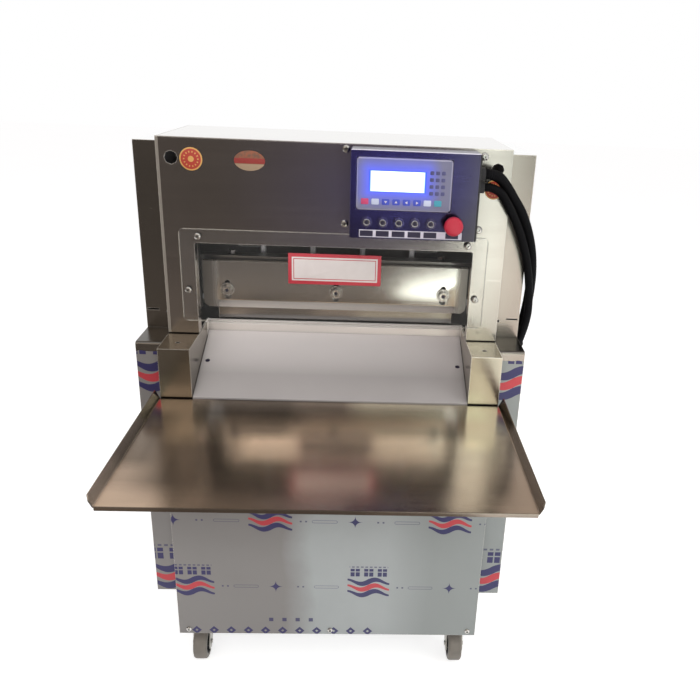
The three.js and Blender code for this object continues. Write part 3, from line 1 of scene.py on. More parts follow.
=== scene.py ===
# Looks of a guillotine slicer for frozen meat rolls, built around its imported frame
import math
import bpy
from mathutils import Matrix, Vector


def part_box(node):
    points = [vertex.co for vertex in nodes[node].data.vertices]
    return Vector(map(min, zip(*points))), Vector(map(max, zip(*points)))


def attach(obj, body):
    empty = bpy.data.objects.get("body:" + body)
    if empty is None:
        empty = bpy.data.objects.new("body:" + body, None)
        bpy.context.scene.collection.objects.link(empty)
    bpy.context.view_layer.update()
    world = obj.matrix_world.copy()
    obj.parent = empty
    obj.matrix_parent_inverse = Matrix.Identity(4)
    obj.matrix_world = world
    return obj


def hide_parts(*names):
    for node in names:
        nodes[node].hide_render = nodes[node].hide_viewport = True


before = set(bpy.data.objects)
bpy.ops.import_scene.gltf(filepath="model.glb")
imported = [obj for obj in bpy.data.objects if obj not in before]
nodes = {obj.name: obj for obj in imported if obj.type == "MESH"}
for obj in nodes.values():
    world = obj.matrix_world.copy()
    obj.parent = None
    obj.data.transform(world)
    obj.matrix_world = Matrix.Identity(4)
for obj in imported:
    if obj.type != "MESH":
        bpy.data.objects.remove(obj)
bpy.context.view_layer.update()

from types import SimpleNamespace

import bmesh
import bpy
from mathutils import Matrix, Vector, noise

scene = bpy.context.scene
print("frame loaded,", len(nodes), "nodes")


# Camera, with its angles in degrees
view = {
    "place": (0.0541, -1.4864, 1.2668), "yaw": 2.983, "pitch": 21.191, "roll": -2.623,
    "lens": 37.46, "sensor": 36.0, "shiftX": -0.0656, "shiftY": 0.0051,
}


def makeCamera():
    yaw, pitch, roll = (math.radians(view[key]) for key in ("yaw", "pitch", "roll"))
    ahead = Vector((math.sin(yaw) * math.cos(pitch), math.cos(yaw) * math.cos(pitch), -math.sin(pitch)))
    level = Vector((math.cos(yaw), -math.sin(yaw), 0))
    under = ahead.cross(level)
    right = level * math.cos(roll) + under * math.sin(roll)
    down = under * math.cos(roll) - level * math.sin(roll)
    lens = bpy.data.cameras.new("photoCamera")
    lens.lens, lens.sensor_width = view["lens"], view["sensor"]
    lens.shift_x, lens.shift_y = view["shiftX"], view["shiftY"]
    lens.clip_start, lens.clip_end = 0.02, 60
    camera = bpy.data.objects.new("photoCamera", lens)
    turn = Matrix((right, -down, -ahead)).transposed()
    camera.matrix_world = Matrix.Translation(view["place"]) @ turn.to_4x4()
    scene.collection.objects.link(camera)
    scene.camera = camera


makeCamera()
print("camera placed")


# A piece of its own that rides on a body; replaced: the nodes that it stands for
def pieceFrom(name, mesh, finish, body, replaced=()):
    piece = bpy.data.objects.new(name, mesh)
    scene.collection.objects.link(piece)
    mesh.materials.clear()
    mesh.materials.append(finish)
    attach(piece, body)
    if replaced:
        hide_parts(*replaced)
    return piece


# smooth: the angle in degrees up to which an edge is shaded round
def meshFrom(name, points, faces, smooth=40):
    mesh = bpy.data.meshes.new(name)
    mesh.from_pydata([tuple(p) for p in points], [], faces)
    mesh.validate()
    tidy = bmesh.new()
    tidy.from_mesh(mesh)
    bmesh.ops.remove_doubles(tidy, verts=tidy.verts, dist=1e-6)
    bmesh.ops.recalc_face_normals(tidy, faces=tidy.faces)
    tidy.to_mesh(mesh)
    tidy.free()
    mesh.shade_smooth()
    mesh.set_sharp_from_angle(angle=math.radians(smooth))
    return mesh


def bevelled(mesh, width):
    work = bmesh.new()
    work.from_mesh(mesh)
    bmesh.ops.remove_doubles(work, verts=work.verts, dist=1e-6)
    bmesh.ops.dissolve_limit(work, angle_limit=math.radians(1), verts=work.verts, edges=work.edges)
    sharp = [e for e in work.edges if len(e.link_faces) == 2 and e.calc_face_angle(0) > math.radians(30)]
    bmesh.ops.bevel(work, geom=sharp, offset=width, segments=2, profile=0.5, affect="EDGES",
                    clamp_overlap=True)
    work.to_mesh(mesh)
    work.free()
    mesh.shade_smooth()
    mesh.set_sharp_from_angle(angle=math.radians(50))
    return mesh


# Faces between each ring of points and the next one
def ringFaces(rings, sides):
    faces = []
    for ring in range(0, (rings - 1) * sides, sides):
        for k in range(sides):
            after = (k + 1) % sides
            faces.append((ring + k, ring + after, ring + sides + after, ring + sides + k))
    return faces


axisTurns = {
    "+x": Matrix.Rotation(math.pi / 2, 4, "Y"), "+y": Matrix.Rotation(-math.pi / 2, 4, "X"),
    "-y": Matrix.Rotation(math.pi / 2, 4, "X"),
}


# A profile of (radius, height) pairs turned about an axis; a third value "hex" squares it to six sides
def turnedMesh(name, profile, axis, centre, steps=48, smooth=35):
    points = []
    for entry in profile:
        radius, height = entry[0], entry[1]
        for i in range(steps):
            angle = 2 * math.pi * i / steps
            reach = radius
            if len(entry) > 2:
                reach = radius * math.cos(math.pi / 6) / math.cos(angle % (math.pi / 3) - math.pi / 6)
            points.append(Vector((reach * math.cos(angle), reach * math.sin(angle), height)))
    placed = Matrix.Translation(centre) @ axisTurns[axis]
    return meshFrom(name, [placed @ p for p in points], ringFaces(len(profile), steps), smooth)


# A rounded slab standing in the XZ plane, its front face towards -Y
def slabMesh(name, x0, x1, z0, z1, front, back, corner, bevel):
    outline, segments = [], 4
    spots = ((x1 - corner, z0 + corner, -90), (x1 - corner, z1 - corner, 0),
             (x0 + corner, z1 - corner, 90), (x0 + corner, z0 + corner, 180))
    for cx, cz, start in spots:
        for k in range(segments + 1):
            angle = math.radians(start + 90 * k / segments)
            outline.append((cx + corner * math.cos(angle), cz + corner * math.sin(angle)))
    count = len(outline)
    points = [(x, front, z) for x, z in outline] + [(x, back, z) for x, z in outline]
    faces = [tuple(range(count)), tuple(range(2 * count - 1, count - 1, -1))]
    faces += [(i, (i + 1) % count, count + (i + 1) % count, count + i) for i in range(count)]
    mesh = meshFrom(name, points, faces)
    return bevelled(mesh, bevel) if bevel else mesh


def joinedMesh(name, meshes):
    whole = bmesh.new()
    for mesh in meshes:
        whole.from_mesh(mesh)
    result = bpy.data.meshes.new(name)
    whole.to_mesh(result)
    whole.free()
    for mesh in meshes:
        bpy.data.meshes.remove(mesh)
    result.shade_smooth()
    result.set_sharp_from_angle(angle=math.radians(35))
    return result


# Points on a smooth line through the given ones, evenly spread
def smoothPath(points, spacing):
    knots = [Vector(p) for p in points]
    knots = [knots[0] * 2 - knots[1], *knots, knots[-1] * 2 - knots[-2]]
    fine = []
    for i in range(1, len(knots) - 2):
        p0, p1, p2, p3 = knots[i - 1:i + 3]
        t0 = 0
        t1 = t0 + math.sqrt((p1 - p0).length)
        t2 = t1 + math.sqrt((p2 - p1).length)
        t3 = t2 + math.sqrt((p3 - p2).length)
        for k in range(24):
            t = t1 + (t2 - t1) * k / 24
            a1 = p0.lerp(p1, (t - t0) / (t1 - t0))
            a2 = p1.lerp(p2, (t - t1) / (t2 - t1))
            a3 = p2.lerp(p3, (t - t2) / (t3 - t2))
            b1 = a1.lerp(a2, (t - t0) / (t2 - t0))
            b2 = a2.lerp(a3, (t - t1) / (t3 - t1))
            fine.append(b1.lerp(b2, (t - t1) / (t2 - t1)))
    fine.append(knots[-2])
    runs = [0.0]
    for a, b in zip(fine, fine[1:]):
        runs.append(runs[-1] + (b - a).length)
    count = max(2, round(runs[-1] / spacing))
    spread, k = [], 0
    for i in range(count + 1):
        target = runs[-1] * i / count
        while k < len(runs) - 2 and runs[k + 1] < target:
            k += 1
        share = (target - runs[k]) / max(runs[k + 1] - runs[k], 1e-9)
        spread.append(fine[k].lerp(fine[k + 1], min(share, 1)))
    return spread


# A tube along points, its radius given at each one
def sweptMesh(name, points, radii, sides, smooth):
    verts = []
    side = Vector((0, 0, 1))
    for i, point in enumerate(points):
        ahead = (points[min(i + 1, len(points) - 1)] - points[max(i - 1, 0)]).normalized()
        side = (side - ahead * side.dot(ahead)).normalized()
        other = ahead.cross(side)
        for k in range(sides):
            angle = 2 * math.pi * k / sides
            verts.append(point + (side * math.cos(angle) + other * math.sin(angle)) * radii[i])
    last = (len(points) - 1) * sides
    ends = [tuple(range(sides)), tuple(range(last, last + sides))]
    return meshFrom(name, verts, ringFaces(len(points), sides) + ends, smooth)


def boxMiddle(name):
    low, high = (Vector(c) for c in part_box(name))
    return (low + high) / 2, low, high


# A method that sends a wire and the other terms through one math node
def mathNode(operation, swapped=False):
    def make(self, *others):
        terms = (*others, self) if swapped else (self, *others)
        return self.graph.calc(operation, *terms)
    return make


# One output of a node; sums with it make further nodes
class Wire:
    def __init__(self, graph, socket):
        self.graph = graph
        self.socket = socket

    __add__ = mathNode("ADD")
    __sub__ = mathNode("SUBTRACT")
    __rsub__ = mathNode("SUBTRACT", swapped=True)
    __mul__ = mathNode("MULTIPLY")
    __rmul__ = mathNode("MULTIPLY", swapped=True)
    __truediv__ = mathNode("DIVIDE")
    __pow__ = mathNode("POWER")
    __lt__ = mathNode("LESS_THAN")
    __gt__ = mathNode("GREATER_THAN")
    __abs__ = mathNode("ABSOLUTE")
    larger = mathNode("MAXIMUM")
    timesPlus = mathNode("MULTIPLY_ADD")
    floor = mathNode("FLOOR")
    fraction = mathNode("FRACT")
    root = mathNode("SQRT")
    sine = mathNode("SINE")
    cosine = mathNode("COSINE")
    angleOver = mathNode("ARCTAN2")

    def between(self, low, high, newLow=0.0, newHigh=1.0):
        inputs = {"Value": self, "From Min": low, "From Max": high, "To Min": newLow, "To Max": newHigh}
        return self.graph.put("ShaderNodeMapRange", {"clamp": True}, inputs)

    def noise(self, scale, detail=2.0, rough=0.5):
        inputs = {"Vector": self, "Scale": scale, "Detail": detail, "Roughness": rough}
        return self.graph.put("ShaderNodeTexNoise", None, inputs, "Fac")

    def scaled(self, factor):
        return self.graph.put("ShaderNodeVectorMath", {"operation": "SCALE"}, {0: self, "Scale": factor})

    def split(self):
        return self.graph.put("ShaderNodeSeparateXYZ", None, {0: self}, None)


# A node tree with short forms for what its graphs are made of
class Graph:
    def __init__(self, tree):
        self.tree = tree

    # gives the output called out, or all of them by name when out is None
    def put(self, kind, settings=None, inputs=None, out=0):
        node = self.tree.nodes.new(kind)
        for key, value in (settings or {}).items():
            setattr(node, key, value)
        self.fill(node, inputs or {})
        if out is None:
            return {socket.name: Wire(self, socket) for socket in node.outputs}
        return Wire(self, node.outputs[out])

    def fill(self, node, inputs):
        for key, value in inputs.items():
            socket = node.inputs[key]
            if isinstance(value, Wire):
                self.tree.links.new(value.socket, socket)
            elif socket.type == "RGBA":
                socket.default_value = (*value, 1)
            else:
                socket.default_value = value

    def calc(self, operation, a, b=0.0, c=0.0, clamp=False):
        return self.put("ShaderNodeMath", {"operation": operation, "use_clamp": clamp}, {0: a, 1: b, 2: c})

    def blend(self, share, a, b):
        return self.put("ShaderNodeMix", {"data_type": "RGBA"}, {0: share, 6: a, 7: b}, 2)

    def mix(self, share, a, b):
        return self.put("ShaderNodeMix", {"data_type": "FLOAT"}, {0: share, 2: a, 3: b})

    def use(self, group, inputs=None):
        return self.put("ShaderNodeGroup", {"node_tree": group}, inputs, None)

    def facingUp(self):
        return self.put("ShaderNodeNewGeometry", out="True Normal").split()["Z"]

    # rays that show the background as it is: straight, mirrored or through the guard
    def seenRays(self):
        rays = self.put("ShaderNodeLightPath", out=None)
        return rays["Is Camera Ray"].larger(rays["Is Glossy Ray"].larger(rays["Is Transmission Ray"]))


def newGroup(name, inputs):
    graph = Graph(bpy.data.node_groups.new(name, "ShaderNodeTree"))
    for label, kind, value in inputs:
        socket = graph.tree.interface.new_socket(name=label, in_out="INPUT", socket_type="NodeSocket" + kind)
        if value is not None:
            socket.default_value = value
    return graph, graph.put("NodeGroupInput", out=None)


def finishGroup(graph, results):
    for label in results:
        graph.tree.interface.new_socket(name=label, in_out="OUTPUT", socket_type="NodeSocketFloat")
    graph.fill(graph.tree.nodes.new("NodeGroupOutput"), results)
    return graph.tree


# Brushed lines, slow clouds and single scratches of rolled sheet
def makeSheetGrain():
    graph, given = newGroup("sheetGrain", [
        ("Vector", "Vector", None), ("Stretch", "Vector", (25, 900, 900)), ("Cloud Scale", "Float", 5.0)])
    stretched = graph.put("ShaderNodeVectorMath", {"operation": "MULTIPLY"},
                          {0: given["Vector"], 1: given["Stretch"]})
    coarse = stretched.scaled(0.16)
    lines = coarse.noise(1.0, 2.0, 0.5).timesPlus(0.5, stretched.noise(1.0, 3.0, 0.6) * 0.5)
    cloud = given["Vector"].noise(given["Cloud Scale"], 4.0, 0.55)
    marks = coarse.noise(0.55, 1.0, 0.4)
    return finishGroup(graph, {"Lines": lines, "Cloud": cloud.between(0.32, 0.68),
                               "Scratches": marks.between(0.70, 0.78)})


# Finger smears and dried drops
def makeSmears():
    graph, given = newGroup("smears", [
        ("Vector", "Vector", None), ("Scale", "Float", 9.0), ("Amount", "Float", 0.5)])
    place, scale = given["Vector"], given["Scale"]
    smear = place.noise(scale, 5.0, 0.62).between(0.48, 0.72) * given["Amount"]
    cells = graph.put("ShaderNodeTexVoronoi", None, {"Vector": place, "Scale": scale * 7.0}, "Distance")
    rare = place.noise(scale, 1.0).between(0.58, 0.66)
    drops = cells.between(0.10, 0.16, 1.0, 0.0) * rare * given["Amount"]
    return finishGroup(graph, {"Smear": smear, "Drops": drops})


# Fine pits and mottling of cast or moulded surfaces
def makeMouldGrain():
    graph, given = newGroup("mouldGrain", [("Vector", "Vector", None), ("Scale", "Float", 900.0)])
    pits = given["Vector"].noise(given["Scale"], 3.0, 0.6)
    mottle = given["Vector"].noise(given["Scale"] * 0.03, 3.0).between(0.3, 0.7)
    return finishGroup(graph, {"Height": pits, "Mottle": mottle})


# Open is low in corners and gaps and Edge is high along folds and rims: the materials paint shade by Open
# and a pale highlight by Edge
def makeEdgeShade(name, alone):
    graph, given = newGroup(name, [("Reach", "Float", 0.014), ("Radius", "Float", 0.0024)])
    corner = graph.put("ShaderNodeAmbientOcclusion", {"samples": 6, "only_local": alone},
                       {"Distance": given["Reach"]}, "AO")
    unshaded = corner.between(0.15, 0.85)
    rounded = graph.put("ShaderNodeBevel", {"samples": 4}, {"Radius": given["Radius"]})
    flat = graph.put("ShaderNodeNewGeometry", out="True Normal")
    turned = graph.put("ShaderNodeVectorMath", {"operation": "DOT_PRODUCT"}, {0: rounded, 1: flat}, "Value")
    rim = turned.between(0.84, 0.985, 1.0, 0.0)
    return finishGroup(graph, {"Open": unshaded, "Edge": rim * unshaded ** 2.0})


# Print on protective film: a wave mark in staggered rows with window squares over it, and between
# the marks two dots, a pill outline and a four-pointed star
printLook = dict(
    pitchAcross=0.373, pitchUp=0.165, waveReach=0.045, waveLength=0.062, waveHeight=0.0055,
    bandGap=0.0150, bandHalf=0.0074, bandEnd=0.3, squares=(-0.029, 0.0, 0.029), squareUp=0.0385,
    squareHalf=0.0098, barHalf=0.0011, barRise=0.002, speckUp=0.0530, speckPitch=0.0095, speckHalf=0.0028,
    speckReach=0.041, speckThin=0.6, speckInk=0.7, starHalf=0.0160, starAt=0.175,
    pillAt=0.1975, pillApart=0.0855, pillHalf=0.029, pillThick=0.0030, pillRound=0.006, pillLine=0.0006,
    pillInk=0.6, dotAt=0.1480, dotApart=0.0800, dotGap=0.0055, dotHalf=0.0019, dotInk=0.8,
    blockUp=0.0465, blockPitch=0.0373, blockHalf=0.0105, blockHole=0.66, blockRun=0.746, blockStart=0.06,
    blockShare=0.57, dropUp=0.0765, dropReach=0.052, dropPitch=0.0287, dropHalf=0.0046, dropInk=0.9,
)


def makeFilmPrint():
    size = SimpleNamespace(**printLook)
    graph, given = newGroup("filmPrint", [
        ("Across", "Float", 0.0), ("Up", "Float", 0.0), ("Row Shift", "Float", 0.446)])

    def inside(value, half):
        return abs(value) < half

    def either(*masks):
        joined = masks[0]
        for mask in masks[1:]:
            joined = joined.larger(mask)
        return joined

    def spaced(value, pitch):
        return ((value / pitch).fraction() - 0.5) * pitch

    # rows upwards; every second one has a run of blocks in place of its window squares
    rowUp = given["Up"] / size.pitchUp
    row = rowUp.floor()
    up = (rowUp - row - 0.5) * size.pitchUp
    blockRow = (row * 0.5).fraction() > 0.25
    markRow = 1.0 - blockRow
    shifted = given["Across"] - row * given["Row Shift"] * size.pitchAcross
    across = spaced(shifted, size.pitchAcross)
    after = (across / size.pitchAcross).fraction() * size.pitchAcross

    def box(x, y, halfX, halfY):
        return inside(across - x, halfX) * inside(up - y, halfY)

    risen = up - (across * (2 * math.pi / size.waveLength)).sine() * size.waveHeight
    tapered = abs(across).between(0, size.waveReach, size.bandHalf, size.bandHalf * size.bandEnd)
    lowBand, redBand, highBand = (
        inside(risen - size.bandGap * k, tapered) * inside(across, size.waveReach) for k in (-1, 0, 1))
    windows = []
    for x in size.squares:
        level = inside(up - (size.squareUp + size.barRise), size.barHalf)
        bars = inside(across - x, size.barHalf).larger(level)
        windows.append(box(x, size.squareUp, size.squareHalf, size.squareHalf) * (1.0 - bars) * markRow)
    speckRow = box(0.0, size.speckUp, size.speckReach, size.speckHalf * size.speckThin)
    specks = markRow * (inside(spaced(across, size.speckPitch), size.speckHalf) * speckRow)
    star = abs(after - size.starAt).root() + abs(up).root() < math.sqrt(size.starHalf)
    fromPill = abs(after - size.pillAt) - size.pillApart
    pastEnd = (abs(fromPill) - (size.pillHalf - size.pillRound)).larger(0.0)
    pill = inside((pastEnd * pastEnd + up * up).root() - size.pillThick, size.pillLine)
    fromDots = abs(after - size.dotAt) - size.dotApart
    dots = inside(abs(fromDots) - size.dotGap, size.dotHalf) * inside(up, size.dotHalf)
    blockRow = blockRow * ((shifted / size.blockRun + size.blockStart).fraction() < size.blockShare)
    dropRow = blockRow * box(0.0, size.dropUp, size.dropReach, size.dropHalf)
    drops = inside(spaced(across, size.dropPitch), size.dropHalf) * dropRow
    lozenge = abs(spaced(shifted, size.blockPitch)) + abs(up - size.blockUp)
    blocks = inside(lozenge - size.blockHalf * size.blockHole, size.blockHalf * (1 - size.blockHole))
    navy = either(lowBand, highBand, *windows, specks * size.speckInk, star, pill * size.pillInk,
                  dots * size.dotInk, drops * size.dropInk, blocks * blockRow)
    return finishGroup(graph, {"Navy": navy, "Red": redBand})


sheetGrain = makeSheetGrain()
smears = makeSmears()
mouldGrain = makeMouldGrain()
edgeShade = makeEdgeShade("edgeShade", False)
ownShade = makeEdgeShade("ownShade", True)
filmPrint = makeFilmPrint()


def newMaterial(name, colour):
    material = bpy.data.materials.new(name)
    material.use_nodes = True
    material.diffuse_color = (*colour, 1)
    graph = Graph(material.node_tree)
    graph.tree.nodes.clear()
    return material, graph, graph.put("ShaderNodeTexCoord", out="Object")


# bump: a height, its distance and its strength
def finishMaterial(material, graph, inputs, bump=None):
    if bump:
        raised = dict(zip(("Height", "Distance", "Strength"), bump))
        inputs["Normal"] = graph.put("ShaderNodeBump", None, raised)
    shader = graph.tree.nodes.new("ShaderNodeBsdfPrincipled")
    graph.fill(shader, inputs)
    output = graph.tree.nodes.new("ShaderNodeOutputMaterial")
    graph.tree.links.new(shader.outputs[0], output.inputs[0])
    return material


# Bare sheet and worked steel; rim sets how strongly a painted highlight pales its edges
steelLooks = {
    "head": dict(tint=(0.40, 0.37, 0.345), shade=(0.345, 0.32, 0.298), stretch=(18, 900, 900),
                 rough=(0.16, 0.24), smear=0.15, cloud=4.0, bump=0.00002, rim=0.55),
    "tray": dict(tint=(0.66, 0.56, 0.47), shade=(0.57, 0.485, 0.405), stretch=(14, 800, 800),
                 rough=(0.165, 0.215), smear=0.10, cloud=3.5, bump=0.00001, rim=0.12),
    "outlet": dict(tint=(0.50, 0.46, 0.385), shade=(0.44, 0.405, 0.34), stretch=(22, 500, 500),
                   rough=(0.20, 0.25), smear=0.10, cloud=7.0, bump=0.000001, rim=0.8),
    "bed": dict(tint=(0.42, 0.41, 0.395), shade=(0.33, 0.32, 0.305), stretch=(700, 18, 700),
                rough=(0.28, 0.42), smear=0.4, cloud=6.0, bump=0.00003, rim=0.5),
    "holder": dict(tint=(0.62, 0.60, 0.565), shade=(0.545, 0.525, 0.495), stretch=(30, 700, 700),
                   rough=(0.11, 0.15), smear=0.12, cloud=5.0, bump=0.00001, rim=0.3),
    "blade": dict(tint=(0.36, 0.362, 0.365), shade=(0.315, 0.317, 0.32), stretch=(30, 600, 600),
                  rough=(0.12, 0.20), smear=0.2, cloud=8.0, bump=0.00002, rim=0.6),
    "machined": dict(tint=(0.50, 0.50, 0.49), shade=(0.40, 0.395, 0.39), stretch=(600, 600, 60),
                     rough=(0.26, 0.42), smear=0.4, cloud=12.0, bump=0.00003, rim=0.4),
    "carrier": dict(tint=(0.26, 0.255, 0.25), shade=(0.20, 0.196, 0.19), stretch=(60, 600, 600),
                    rough=(0.26, 0.38), smear=0.4, cloud=12.0, bump=0.00002, rim=0.2),
    "chrome": dict(tint=(0.80, 0.80, 0.81), shade=(0.70, 0.70, 0.71), stretch=(300, 300, 300),
                   rough=(0.08, 0.16), smear=0.2, cloud=20.0, bump=0.00001, rim=0.2),
    "rod": dict(tint=(0.95, 0.95, 0.96), shade=(0.82, 0.82, 0.83), stretch=(300, 300, 300),
                rough=(0.25, 0.35), smear=0.2, cloud=20.0, bump=0.00001, rim=0.0, metal=0.2),
    "bolt": dict(tint=(0.66, 0.64, 0.61), shade=(0.54, 0.52, 0.49), stretch=(300, 300, 300),
                 rough=(0.20, 0.30), smear=0.3, cloud=30.0, bump=0.00002, rim=0.6),
    "screw": dict(tint=(0.62, 0.61, 0.59), shade=(0.50, 0.49, 0.47), stretch=(300, 300, 300),
                  rough=(0.16, 0.24), smear=0.3, cloud=30.0, bump=0.00001, rim=0.3),
    "zinc": dict(tint=(0.50, 0.49, 0.46), shade=(0.36, 0.35, 0.32), stretch=(260, 260, 260),
                 rough=(0.30, 0.50), smear=0.8, cloud=40.0, bump=0.00004, rim=0.4),
    "box": dict(tint=(0.074, 0.068, 0.086), shade=(0.060, 0.055, 0.070), stretch=(16, 900, 900),
                rough=(0.18, 0.28), smear=0.3, cloud=9.0, bump=0.00002, rim=0.25),
}
# What all the steel has in common: shares of lines and clouds in its tone, of scratches and smears, how
# strong the painted screen glow is, and how far painted shade darkens corners and gaps (open, shut)
wearAndPaintedShade = dict(lines=0.55, clouds=0.45, scratches=0.2, scratchGain=1.35, scratchDepth=0.4, smearScale=2.3,
            smearRough=0.14, dropRough=0.04, bump=0.5, blush=0.8, blushFall=1.5, open=0.72, shut=0.28)
lineFade = (0.25, 0.75)
# pale tint of the painted highlight along edges and rims
paintedEdgeHighlight = (0.92, 0.87, 0.80)
# near-black of the painted shadow in gaps between parts
paintedGapShadow = (0.02, 0.018, 0.016)
roofHighlightLook = dict(tint=(0.96, 0.96, 0.955), facing=0.7, level=1.0, smoother=0.35)


# The part of a piece that lies inside bounds (low, high) along some of its axes
def patchMask(spots, patch):
    soft = patch.get("soft", 0.0001)
    sides = []
    for axis in "XYZ":
        value = abs(spots[axis]) if axis == "X" and patch.get("mirror") else spots[axis]
        low, high = patch.get(axis, (None, None))
        if low is not None:
            sides.append(value.between(low - soft, low + soft))
        if high is not None:
            sides.append(value.between(high - soft, high + soft, 1.0, 0.0))
    return math.prod(sides[1:], start=sides[0]) * patch.get("share", 1.0)


# Faces that look up, high on the machine, are smoother and painted pale: a painted highlight
def paintedRoofHighlight(graph, place, colour, rough):
    share = (graph.facingUp() > roofHighlightLook["facing"]) * (place.split()["Z"] > roofHighlightLook["level"])
    colour = graph.blend(share, colour, roofHighlightLook["tint"])
    return colour, graph.mix(share, rough, rough * roofHighlightLook["smoother"])


# The glow argument is a painted glow of the lit screen, a soft round patch of another colour; patches:
# bounded parts in another finish, some of them painted light and shade
def makeSteel(name, patches=(), blush=None, roof=False, shade=edgeShade):
    look = SimpleNamespace(**{"metal": 1.0, **steelLooks[name]})
    material, graph, place = newMaterial(name + "Steel", look.tint)
    grain = graph.use(sheetGrain, {"Vector": place, "Stretch": look.stretch, "Cloud Scale": look.cloud})
    marks = graph.use(smears, {
        "Vector": place, "Scale": look.cloud * wearAndPaintedShade["smearScale"], "Amount": look.smear})
    edges = graph.use(shade)
    lined = grain["Lines"].timesPlus(wearAndPaintedShade["lines"], grain["Cloud"] * wearAndPaintedShade["clouds"])
    colour = graph.blend(lined.between(*lineFade), look.shade, look.tint)
    scratchTint = tuple(min(1, c * wearAndPaintedShade["scratchGain"]) for c in look.tint)
    colour = graph.blend(grain["Scratches"] * wearAndPaintedShade["scratches"], colour, scratchTint)
    rough = marks["Smear"].timesPlus(wearAndPaintedShade["smearRough"], grain["Lines"].between(*lineFade, *look.rough))
    rough = marks["Drops"].timesPlus(wearAndPaintedShade["dropRough"], rough)
    rim = edges["Edge"] * look.rim
    metallic = graph.calc("SUBTRACT", look.metal, rim, clamp=True)
    # painted glow: bluish light of the lit screen, fading with distance
    if blush:
        ends = {0: place, 1: blush["at"]}
        away = graph.put("ShaderNodeVectorMath", {"operation": "DISTANCE"}, ends, "Value")
        near = away.between(0, blush["reach"], 1.0, 0.0) ** wearAndPaintedShade["blushFall"]
        colour = graph.blend(near * wearAndPaintedShade["blush"], colour, blush["tint"])
    if roof:
        colour, rough = paintedRoofHighlight(graph, place, colour, rough)
    # painted highlight: pale and less metallic along edges and rims
    colour = graph.blend(rim, colour, paintedEdgeHighlight)
    sheen = 0.5
    spots = place.split()
    for patch in patches:
        mask = patchMask(spots, patch)
        if "tint" in patch:
            colour = graph.blend(mask, colour, patch["tint"])
        if "scale" in patch:
            colour = colour.scaled(mask.between(0, 1, 1.0, patch["scale"]))
        if "metal" in patch:
            metallic = metallic * mask.between(0, 1, 1.0, patch["metal"])
        if "sheen" in patch:
            sheen = sheen * mask.between(0, 1, 1.0, patch["sheen"])
        if "rough" in patch:
            rough = graph.mix(mask, rough, patch["rough"])
    # painted shade: darker in corners and gaps
    colour = colour.scaled(edges["Open"].timesPlus(wearAndPaintedShade["open"], wearAndPaintedShade["shut"]))
    height = grain["Lines"] - grain["Scratches"] * wearAndPaintedShade["scratchDepth"]
    return finishMaterial(material, graph, {
        "Base Color": colour, "Metallic": metallic, "Roughness": rough, "Specular IOR Level": sheen,
    }, (height, look.bump, wearAndPaintedShade["bump"]))


# How the pieces differ from place to place, in their finish and in painted light and shade, in metres of the
# frame: X, Y and Z bound a patch, soft is half the width of its border, and scale, metal and sheen multiply
# what is there
boxLow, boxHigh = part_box("control_box")
# painted glow of the lit screen on the head plate and on the control box
headPaintedGlow = dict(at=(0.02, -0.116, 1.06), reach=0.26, tint=(0.38, 0.36, 0.60))
boxPaintedGlow = dict(at=(0.085, -0.190, 1.105), reach=0.20, tint=(0.165, 0.15, 0.80))
# a near-black, matt finish with little gloss for patches deep inside the frame
darkMattPatch = dict(tint=(0.016, 0.015, 0.014), metal=0.0, rough=0.6, sheen=0.1)
# painted highlights on the head plate's left fold and top edge, painted shadow along its lower edge
headPaintedEdges = [
    dict(X=(None, -0.3195), tint=(0.50, 0.46, 0.40), share=0.75, metal=0.55),
    dict(Z=(1.1388, None), tint=(0.62, 0.58, 0.53), share=0.5, metal=0.55),
    dict(Z=(None, 0.7682), tint=paintedGapShadow),
]
outletPatches = [
    # painted shade on the left boxes, painted light on the right ones
    dict(X=(None, -0.2625), soft=0.001, scale=0.64),
    dict(X=(0.2625, None), Z=(0.7652, None), soft=0.0004, scale=1.35),
    dict(X=(None, 0.268), Y=(-0.045, None), Z=(0.7355, None), mirror=True, tint=(0.92, 0.87, 0.83),
         metal=0.35),
    # painted shadow in the gap above the tray
    dict(Z=(None, 0.6688), tint=paintedGapShadow),
    dict(X=(0.2695, None), Y=(-0.075, 0.2), Z=(0.70, None), mirror=True, **darkMattPatch),
]
bedPatches = [
    dict(X=(None, -0.225), Y=(-0.1, 0.16), **darkMattPatch),
    dict(darkMattPatch, X=(0.225, None), Y=(-0.1, 0.16), tint=(0.16, 0.16, 0.15)),
]
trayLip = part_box("discharge_tray")[0][1] + 0.0016
# painted reflections on the tray: darker and paler bands, a greenish one, darker flanges and a darker front
# lip
trayPaintedReflections = [
    dict(X=(-0.235, -0.055), Y=(-0.290, None), soft=0.025, scale=0.28),
    dict(X=(-0.055, 0.045), Y=(-0.262, None), soft=0.025, scale=0.45),
    dict(X=(0.045, 0.30), Y=(-0.275, None), soft=0.02, tint=(0.70, 0.70, 0.56), share=0.6),
    dict(X=(-0.18, -0.065), Y=(-0.350, -0.290), soft=0.02, scale=0.50),
    dict(X=(0.085, 0.235), Y=(-0.342, -0.305), soft=0.015, scale=0.62),
    dict(X=(-0.14, 0.27), Y=(-0.437, -0.350), soft=0.016, scale=1.48),
    dict(X=(0.075, 0.27), Y=(-0.575, -0.437), soft=0.02, scale=1.48),
    dict(X=(-0.275, -0.170), Y=(-0.535, -0.365), soft=0.03, scale=0.45),
    dict(X=(-0.345, -0.275), Y=(-0.455, -0.265), soft=0.02, scale=0.50),
    dict(X=(-0.345, -0.235), Y=(None, -0.520), soft=0.02, scale=1.45),
    dict(X=(0.05, 0.30), Y=(-0.43, -0.30), soft=0.05, tint=(0.74, 0.72, 0.60), share=0.45),
    dict(X=(None, -0.3263), scale=0.66),
    dict(X=(0.3263, None), scale=0.50),
    dict(Y=(None, trayLip), scale=0.45),
]
